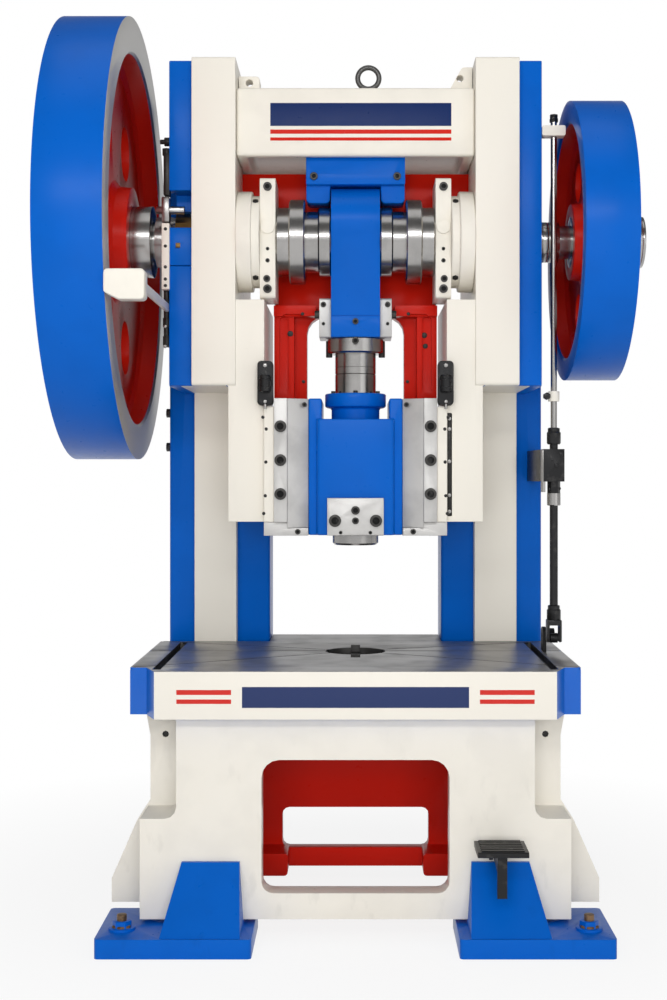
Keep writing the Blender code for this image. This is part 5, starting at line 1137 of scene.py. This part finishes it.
class PRESS_OT_linkage(bpy.types.Operator):
    """Build the operating rod with its couplings, clamps and nuts"""

    bl_idname = "press.linkage"
    bl_label = "Build the Operating Rod"

    def execute(self, context):
        black = oxide("linkage_oxide", (0.022, 0.022, 0.023), 0.30).make()
        steel = turned_steel("linkage_steel", STEEL, 0.22, "z", (ROD_X, ROD_Y, 0)).make()
        low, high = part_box("operating_rod")
        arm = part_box("rod_arm")[1].z
        foot, top = (corner.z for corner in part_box("rod_block"))
        joint, reach, coupler = top + JOINT_RISE, size("rod_reach"), size("coupler_reach")
        tube = [(TUBE_START, 0.0), (TUBE_START, reach), (joint, reach), (joint, 0.0)]
        thin = [(joint, 0.0), (joint, ROD_THIN), (high.z - ROD_TIP, ROD_THIN), (high.z, ROD_THIN - THIN_STEP),
                (high.z, 0.0)]
        coupling = [(0, 0.0), (0, COUPLING_NECK), (0.004, coupler), (0.032, coupler), (0.035, COUPLING_NECK),
                    (0.044, COUPLING_NECK), (0.046, COUPLING_BORE), (0.046, 0.0)]
        dark = [round_rod(tube), round_rod(coupling, COUPLING_FOOT), round_rod(coupling, joint)]
        fork = block((ROD_X - FORK_HALF, ROD_Y - FORK_HALF, low.z),
                     (ROD_X + FORK_HALF, ROD_Y + FORK_HALF, FORK_TOP), FORK_EDGE)
        dark.append(drilled(fork, [block((ROD_X - FORK_GAP, ROD_Y - FORK_CUT, low.z - FORK_DROP),
                                         (ROD_X + FORK_GAP, ROD_Y + FORK_CUT, FORK_ROOF), THIN_EDGE)]))
        dark += [on_rod(arm + start, arm + end, radius, 6) for radius, start, end in ROD_NUTS]
        rod = assembled("rod_and_couplings", "rod", [(black, dark), (steel, [round_rod(thin)])])
        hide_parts("operating_rod")
        heads = [front_stud("rod_block", x, (foot, top)[end] + z, radius)
                 for x, end, z, radius in BLOCK_HEADS]
        plate = block((PLATE_IN, ROD_Y - PLATE_FRONT, foot + PLATE_FOOT),
                      (PLATE_OUT, ROD_Y + PLATE_BACK, top - PLATE_HEAD), THIN_EDGE)
        clamp = joined([on_rod(*CLAMP_SPAN, CLAMP_RING), block(*CLAMP_ARM)])
        drilled(clamp, [on_rod(*CLAMP_CUT, CLAMP_BORE)])
        assembled("rod_guides", "frame", [(steel, [round_rod(SLEEVE, foot)]),
                                          (enamel("linkage_paint", CREAM).make(), [clamp]),
                                          (black, heads + [bar(*CLAMP_KNOB)]),
                                          (machined("plate_steel", STEEL, 0.3, "z").make(), [plate])])
        return {"FINISHED"}


# Studs in the guides as (X, Z), on the bearing rings as (height, depth) of the way out, and on the red
# casting as (X, Z, radius), with the plugs in the holes of the bed's cheeks
GUIDE_STUD, GUIDE_PROUD = 0.0047, 0.0012
GUIDE_STUDS = [(0.2500, 1.339), (0.2410, 1.307), (0.2420, 1.218), (0.2437, 1.127), (0.2478, 1.079)]
RING_STUD, RING_STUD_X, RING_STUD_PROUD, RING_STUD_SEAT = 0.0088, 0.2745, 0.012, 0.004
RING_STUDS = [(0.111, 0.085), (-0.122, 0.080)]
PLUG, PLUG_X, PLUG_Z, PLUG_SPAN = 0.0094, 0.500, 0.501, (-0.241, -0.233)
CASTING_STUDS = [(-0.186, 1.586, 0.0085), (0.197, 1.583, 0.0085), (0.200, 1.552, 0.0075),
                 (-0.150, 1.452, 0.0050), (0.150, 1.452, 0.0050),
                 (-0.150, 1.640, 0.0050), (0.150, 1.640, 0.0050)]


class PRESS_OT_studs(bpy.types.Operator):
    """Add the small studs of the guides, the bearing rings and the red casting, and the bed's plugs"""

    bl_idname = "press.studs"
    bl_label = "Add the Small Studs"

    def execute(self, context):
        parts = []
        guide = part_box("gib_guide_right")[0].y
        for side, hand in ((-1, "left"), (1, "right")):
            for x, z in GUIDE_STUDS:
                start, end = ((side * x, y, z) for y in (guide + STUD_SEAT, guide - GUIDE_PROUD))
                parts.append(bar(GUIDE_STUD, start, end, 12))
            for rise, depth in RING_STUDS:
                out = Vector((0, -depth, rise)).normalized()
                start = Vector((side * RING_STUD_X, 0, CRANK_Z)) + out
                spot = landing("bearing_flange_" + hand, start, -out)
                parts.append(bar(RING_STUD, spot - out * RING_STUD_PROUD, spot + out * RING_STUD_SEAT, 6))
            parts.append(bar(PLUG, *[(side * PLUG_X, y, PLUG_Z) for y in PLUG_SPAN]))
        parts += [front_stud("slide_casting", *place) for place in CASTING_STUDS]
        assembled("small_studs", "frame", [(oxide("stud_oxide", "stud", 0.40).make(), parts)])
        return {"FINISHED"}


# Drum of an oil box: its share of the width, its place, its outline as (height, how far inside), its rings
DRUM_SHARE, DRUM_SEAT = 0.40, 0.010
DRUM = [(-0.026, 0.004), (-0.022, 0), (0.018, 0), (0.022, 0.004)]
DRUM_RINGS, DRUM_RING, DRUM_RING_RISE = (-0.014, 0.008), 0.004, 0.0015
OILER_BOLTS = [(1, -0.012, 0.0062), (0, 0.010, 0.0052)]
OILER_PROUD = 0.003
STEM, STEM_SEAT, STEM_DROP, STEM_TOP = 0.0040, 0.008, 0.010, 0.004


class PRESS_OT_oilers(bpy.types.Operator):
    """Add the drums and bolts of the two oil boxes"""

    bl_idname = "press.oilers"
    bl_label = "Add the Oil Box Drums"

    def execute(self, context):
        black = oxide("oiler_oxide", (0.020, 0.020, 0.021), 0.28).make()
        steel = machined("oiler_steel", STEEL, 0.3, "z").make()
        for hand in ("left", "right"):
            node = "oil_box_" + hand
            low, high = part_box(node)
            middle, centre, face = (low.x + high.x) / 2, (low.z + high.z) / 2, low.y + DRUM_SEAT
            reach = (high.x - low.x) * DRUM_SHARE
            outline = [(centre + DRUM[0][0], 0.0)] + [(centre + z, reach - inside) for z, inside in DRUM]
            drum = turned(outline + [(centre + DRUM[-1][0], 0.0)], "Z", (middle, face, 0), 32)
            rings = [bar(reach + DRUM_RING_RISE, (middle, face, z), (middle, face, z + DRUM_RING), 32)
                     for z in (centre + rise for rise in DRUM_RINGS)]
            bolts = [front_stud(node, middle, (low.z, high.z)[end] + z, radius, 6, OILER_PROUD)
                     for end, z, radius in OILER_BOLTS]
            stem = bar(STEM, (middle, low.y + STEM_SEAT, low.z - STEM_DROP),
                       (middle, low.y + STEM_SEAT, low.z + STEM_TOP), 12)
            assembled("oiler_" + hand, "frame", [(black, [drum] + rings), (steel, bolts + [stem])])
        return {"FINISHED"}


# Shank of the eye bolt as (height over its foot, radius), and where it ends in the ring
SHANK = [(0, 0.0), (0, 0.0150), (0.004, 0.0165), (0.009, 0.0160), (0.013, 0.0105)]
SHANK_TOP, SHANK_TIP, SHANK_END = 0.0080, 0.008, 0.012


class PRESS_OT_eye(bpy.types.Operator):
    """Forge the eye bolt: a ring that thins into a collared shank"""

    bl_idname = "press.eye"
    bl_label = "Forge the Eye Bolt"

    def execute(self, context):
        low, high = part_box("eye_bolt")
        middle, reach, stock = (low.x + high.x) / 2, (high.x - low.x) / 2, size("eye_bar")
        centre = high.z - reach
        deselect()
        bpy.ops.mesh.primitive_torus_add(
            major_segments=64, minor_segments=20, major_radius=reach - stock, minor_radius=stock,
            location=(middle, 0, centre), rotation=(math.pi / 2, 0, 0))
        ring = settle(bpy.context.object)
        shank = [(low.z + z, radius) for z, radius in SHANK]
        shank += [(centre - reach + SHANK_TIP, SHANK_TOP), (centre - reach + SHANK_END, 0.0)]
        piece = smooth(joined([ring, turned(shank, "Z", (middle, 0, 0), 32)]), HEAD_ANGLE)
        iron = oxide("eye_iron", (0.10, 0.098, 0.095), 0.34).make()
        finish_piece(piece, "eye_bolt_forged", "frame", iron, "eye_bolt")
        return {"FINISHED"}


# Dished panels of the red casting as (inner X, outer X, low Z, high Z), and how deep they are
PANELS = [(0.150, 0.206, 1.470, 1.640), (0.100, 0.185, 1.860, 2.030), (0.225, 0.262, 1.730, 1.800)]
PANEL_REACH, PANEL_DEPTH, PANEL_EDGE = 0.02, 0.012, 0.006


class PRESS_OT_panels(bpy.types.Operator):
    """Let the raised ribs of the red casting stand round its dished panels"""

    bl_idname = "press.panels"
    bl_label = "Dish the Red Casting"

    def execute(self, context):
        casting = bpy.data.objects["slide_casting_body"]
        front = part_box("slide_casting")[0].y
        cutters = []
        for side in (-1, 1):
            for inner, outer, low, high in PANELS:
                left, right = sorted((side * inner, side * outer))
                near, far = (left, front - PANEL_REACH, low), (right, front + PANEL_DEPTH, high)
                cutters.append(block(near, far, PANEL_EDGE, 3))
        smooth(drilled(casting, cutters))
        return {"FINISHED"}


# Soft boxes: name, place, target, size, power, and whether gloss shows them
LAMPS = [("front_box", (0.0, -6.5, 1.3), (0, 0, 1.2), (3.2, 2.2), 165, False),
         ("key_box", (-0.3, -5.3, 3.35), (0, 0, 1.75), (4.2, 0.5), 70, True),
         ("fill_box", (3.4, -3.8, 2.2), (0, 0, 1.2), (2.4, 3.0), 16, True),
         ("top_box", (0.0, -0.6, 5.2), (0, 0, 1.2), (3.6, 2.4), 22, True)]
FLOOR_SIZE, FLOOR_Z, FLOOR_TONE = 40, -0.0005, (0.92, 0.92, 0.92)
NEAR_WHITE, FAR_WHITE, WHITE_REACH, WHITE_SOFT = 0.86, 0.14, 1.4, 1.2
CAMERA_PLACE, CAMERA_SHIFT, LENS, SENSOR = (0.0, -4.195, 1.183), (-0.022, -0.025), 54, 36
# The studio that gloss shows, and the share of the surround's white that lights
ROOM_DARK, ROOM_LIGHT, EYE_LEVEL, SIDE_SHADE, SIDE = 0.14, 0.66, (0.42, 0.22), 0.55, (0.62, 0.2)
FILL_SHARE = 0.30


def area_lamp(name, place, target, size, power, glossy):
    """Adds a soft box that faces a target."""
    bpy.ops.object.light_add(type="AREA", location=place)
    lamp = bpy.context.object
    lamp.name = name
    lamp.data.shape = "RECTANGLE"
    lamp.data.size, lamp.data.size_y = size
    lamp.data.energy = power
    lamp.rotation_euler = (Vector(target) - Vector(place)).to_track_quat("-Z", "Y").to_euler()
    lamp.visible_glossy = glossy


class PRESS_OT_stage(bpy.types.Operator):
    """Add the floor, the soft boxes, the white surround and the camera"""

    bl_idname = "press.stage"
    bl_label = "Floor, Light and Camera"

    def execute(self, context):
        scene = context.scene
        scene.view_settings.view_transform = "Standard"
        bpy.ops.mesh.primitive_plane_add(size=FLOOR_SIZE, location=(0, 0, FLOOR_Z))
        floor = context.object
        floor.name = "floor"
        floor.data.materials.append(self.floor_finish())
        self.surround(scene)
        for lamp in LAMPS:
            area_lamp(*lamp)
        bpy.ops.object.camera_add(location=CAMERA_PLACE, rotation=(math.pi / 2, 0, 0))
        scene.camera = context.object
        settings = scene.camera.data
        settings.lens, settings.sensor_width = LENS, SENSOR
        settings.shift_x, settings.shift_y = CAMERA_SHIFT
        return {"FINISHED"}

    def seen(self, tree):
        """1 for rays that a viewer sees the backdrop by: straight, in gloss or through glass."""
        rays = [add_node(tree, "ShaderNodeLightPath", {}, {}, "Is " + kind + " Ray")
                for kind in ("Camera", "Glossy", "Transmission")]
        return rays[0].either(rays[1]).either(rays[2])

    def room(self, tree):
        """How bright the studio is that gloss shows: white at eye level, dark overhead and at its sides."""
        way = add_node(tree, "ShaderNodeTexCoord", {}, {}, "Generated")
        up, side = (add_node(tree, "ShaderNodeSeparateXYZ", {}, {0: way}, axis) for axis in "ZX")
        level = abs(up).below(*EYE_LEVEL) * (1 - SIDE_SHADE * abs(side).above(*SIDE))
        return ROOM_DARK + ROOM_LIGHT * level

    def floor_finish(self):
        """Gives a floor that looks white but keeps the object's shadow."""
        material = bpy.data.materials.new("floor_finish")
        material.use_nodes = True
        tree = material.node_tree
        tree.nodes.clear()
        matt = add_node(tree, "ShaderNodeBsdfDiffuse", {}, {"Color": FLOOR_TONE})
        white = add_node(tree, "ShaderNodeEmission", {}, {"Color": (1, 1, 1), "Strength": 1.0})
        place = add_node(tree, "ShaderNodeTexCoord", {}, {}, "Object")
        reach = add_node(tree, "ShaderNodeVectorMath", {"operation": "LENGTH"}, {0: place}, "Value")
        share = self.seen(tree) * (NEAR_WHITE + FAR_WHITE * reach.above(WHITE_REACH, WHITE_SOFT))
        surface = add_node(tree, "ShaderNodeMixShader", {}, {0: share, 1: matt, 2: white})
        end = tree.nodes.new("ShaderNodeOutputMaterial")
        tree.links.new(surface.socket, end.inputs["Surface"])
        return material

    def surround(self, scene):
        """Sets the world: white where it is seen, softer where it lights."""
        world = bpy.data.worlds.new("studio")
        world.use_nodes = True
        tree = world.node_tree
        tree.nodes.clear()
        seen = self.seen(tree)
        gloss = add_node(tree, "ShaderNodeLightPath", {}, {}, "Is Glossy Ray")
        strength = (seen + (1 - seen) * FILL_SHARE) * (1 - gloss * (1 - self.room(tree)))
        light = add_node(tree, "ShaderNodeBackground", {}, {"Color": (1, 1, 1), "Strength": strength})
        end = tree.nodes.new("ShaderNodeOutputWorld")
        tree.links.new(light.socket, end.inputs["Surface"])
        scene.world = world


class PRESS_PT_sidebar(bpy.types.Panel):
    """Lists the steps in the 3D view's sidebar"""

    bl_idname = "PRESS_PT_sidebar"
    bl_label = "Power Press"
    bl_space_type = "VIEW_3D"
    bl_region_type = "UI"
    bl_category = "Press"

    def draw(self, context):
        for settings in (context.scene.press_colours, context.scene.press_sizes):
            for key in settings.__annotations__:
                self.layout.prop(settings, key)
        for step in STEPS:
            self.layout.operator(step.bl_idname)


STEPS = [PRESS_OT_finishes, PRESS_OT_castings, PRESS_OT_wheels, PRESS_OT_shaft, PRESS_OT_turned,
         PRESS_OT_screws, PRESS_OT_anchors, PRESS_OT_facings, PRESS_OT_clutch, PRESS_OT_linkage,
         PRESS_OT_studs, PRESS_OT_oilers, PRESS_OT_eye, PRESS_OT_panels, PRESS_OT_stage]


CLASSES = (PressColours, PressSizes, *STEPS, PRESS_PT_sidebar)


def register():
    """Registers the settings, the steps and the panel."""
    for kind in CLASSES:
        bpy.utils.register_class(kind)
    bpy.types.Scene.press_colours = PointerProperty(type=PressColours)
    bpy.types.Scene.press_sizes = PointerProperty(type=PressSizes)


def unregister():
    """Removes what register added."""
    del bpy.types.Scene.press_sizes
    del bpy.types.Scene.press_colours
    for kind in reversed(CLASSES):
        bpy.utils.unregister_class(kind)


def main():
    """Runs every step."""
    register()
    for step in STEPS:
        group, name = step.bl_idname.split(".")
        getattr(getattr(bpy.ops, group), name)()


if __name__ == "__main__":
    main()
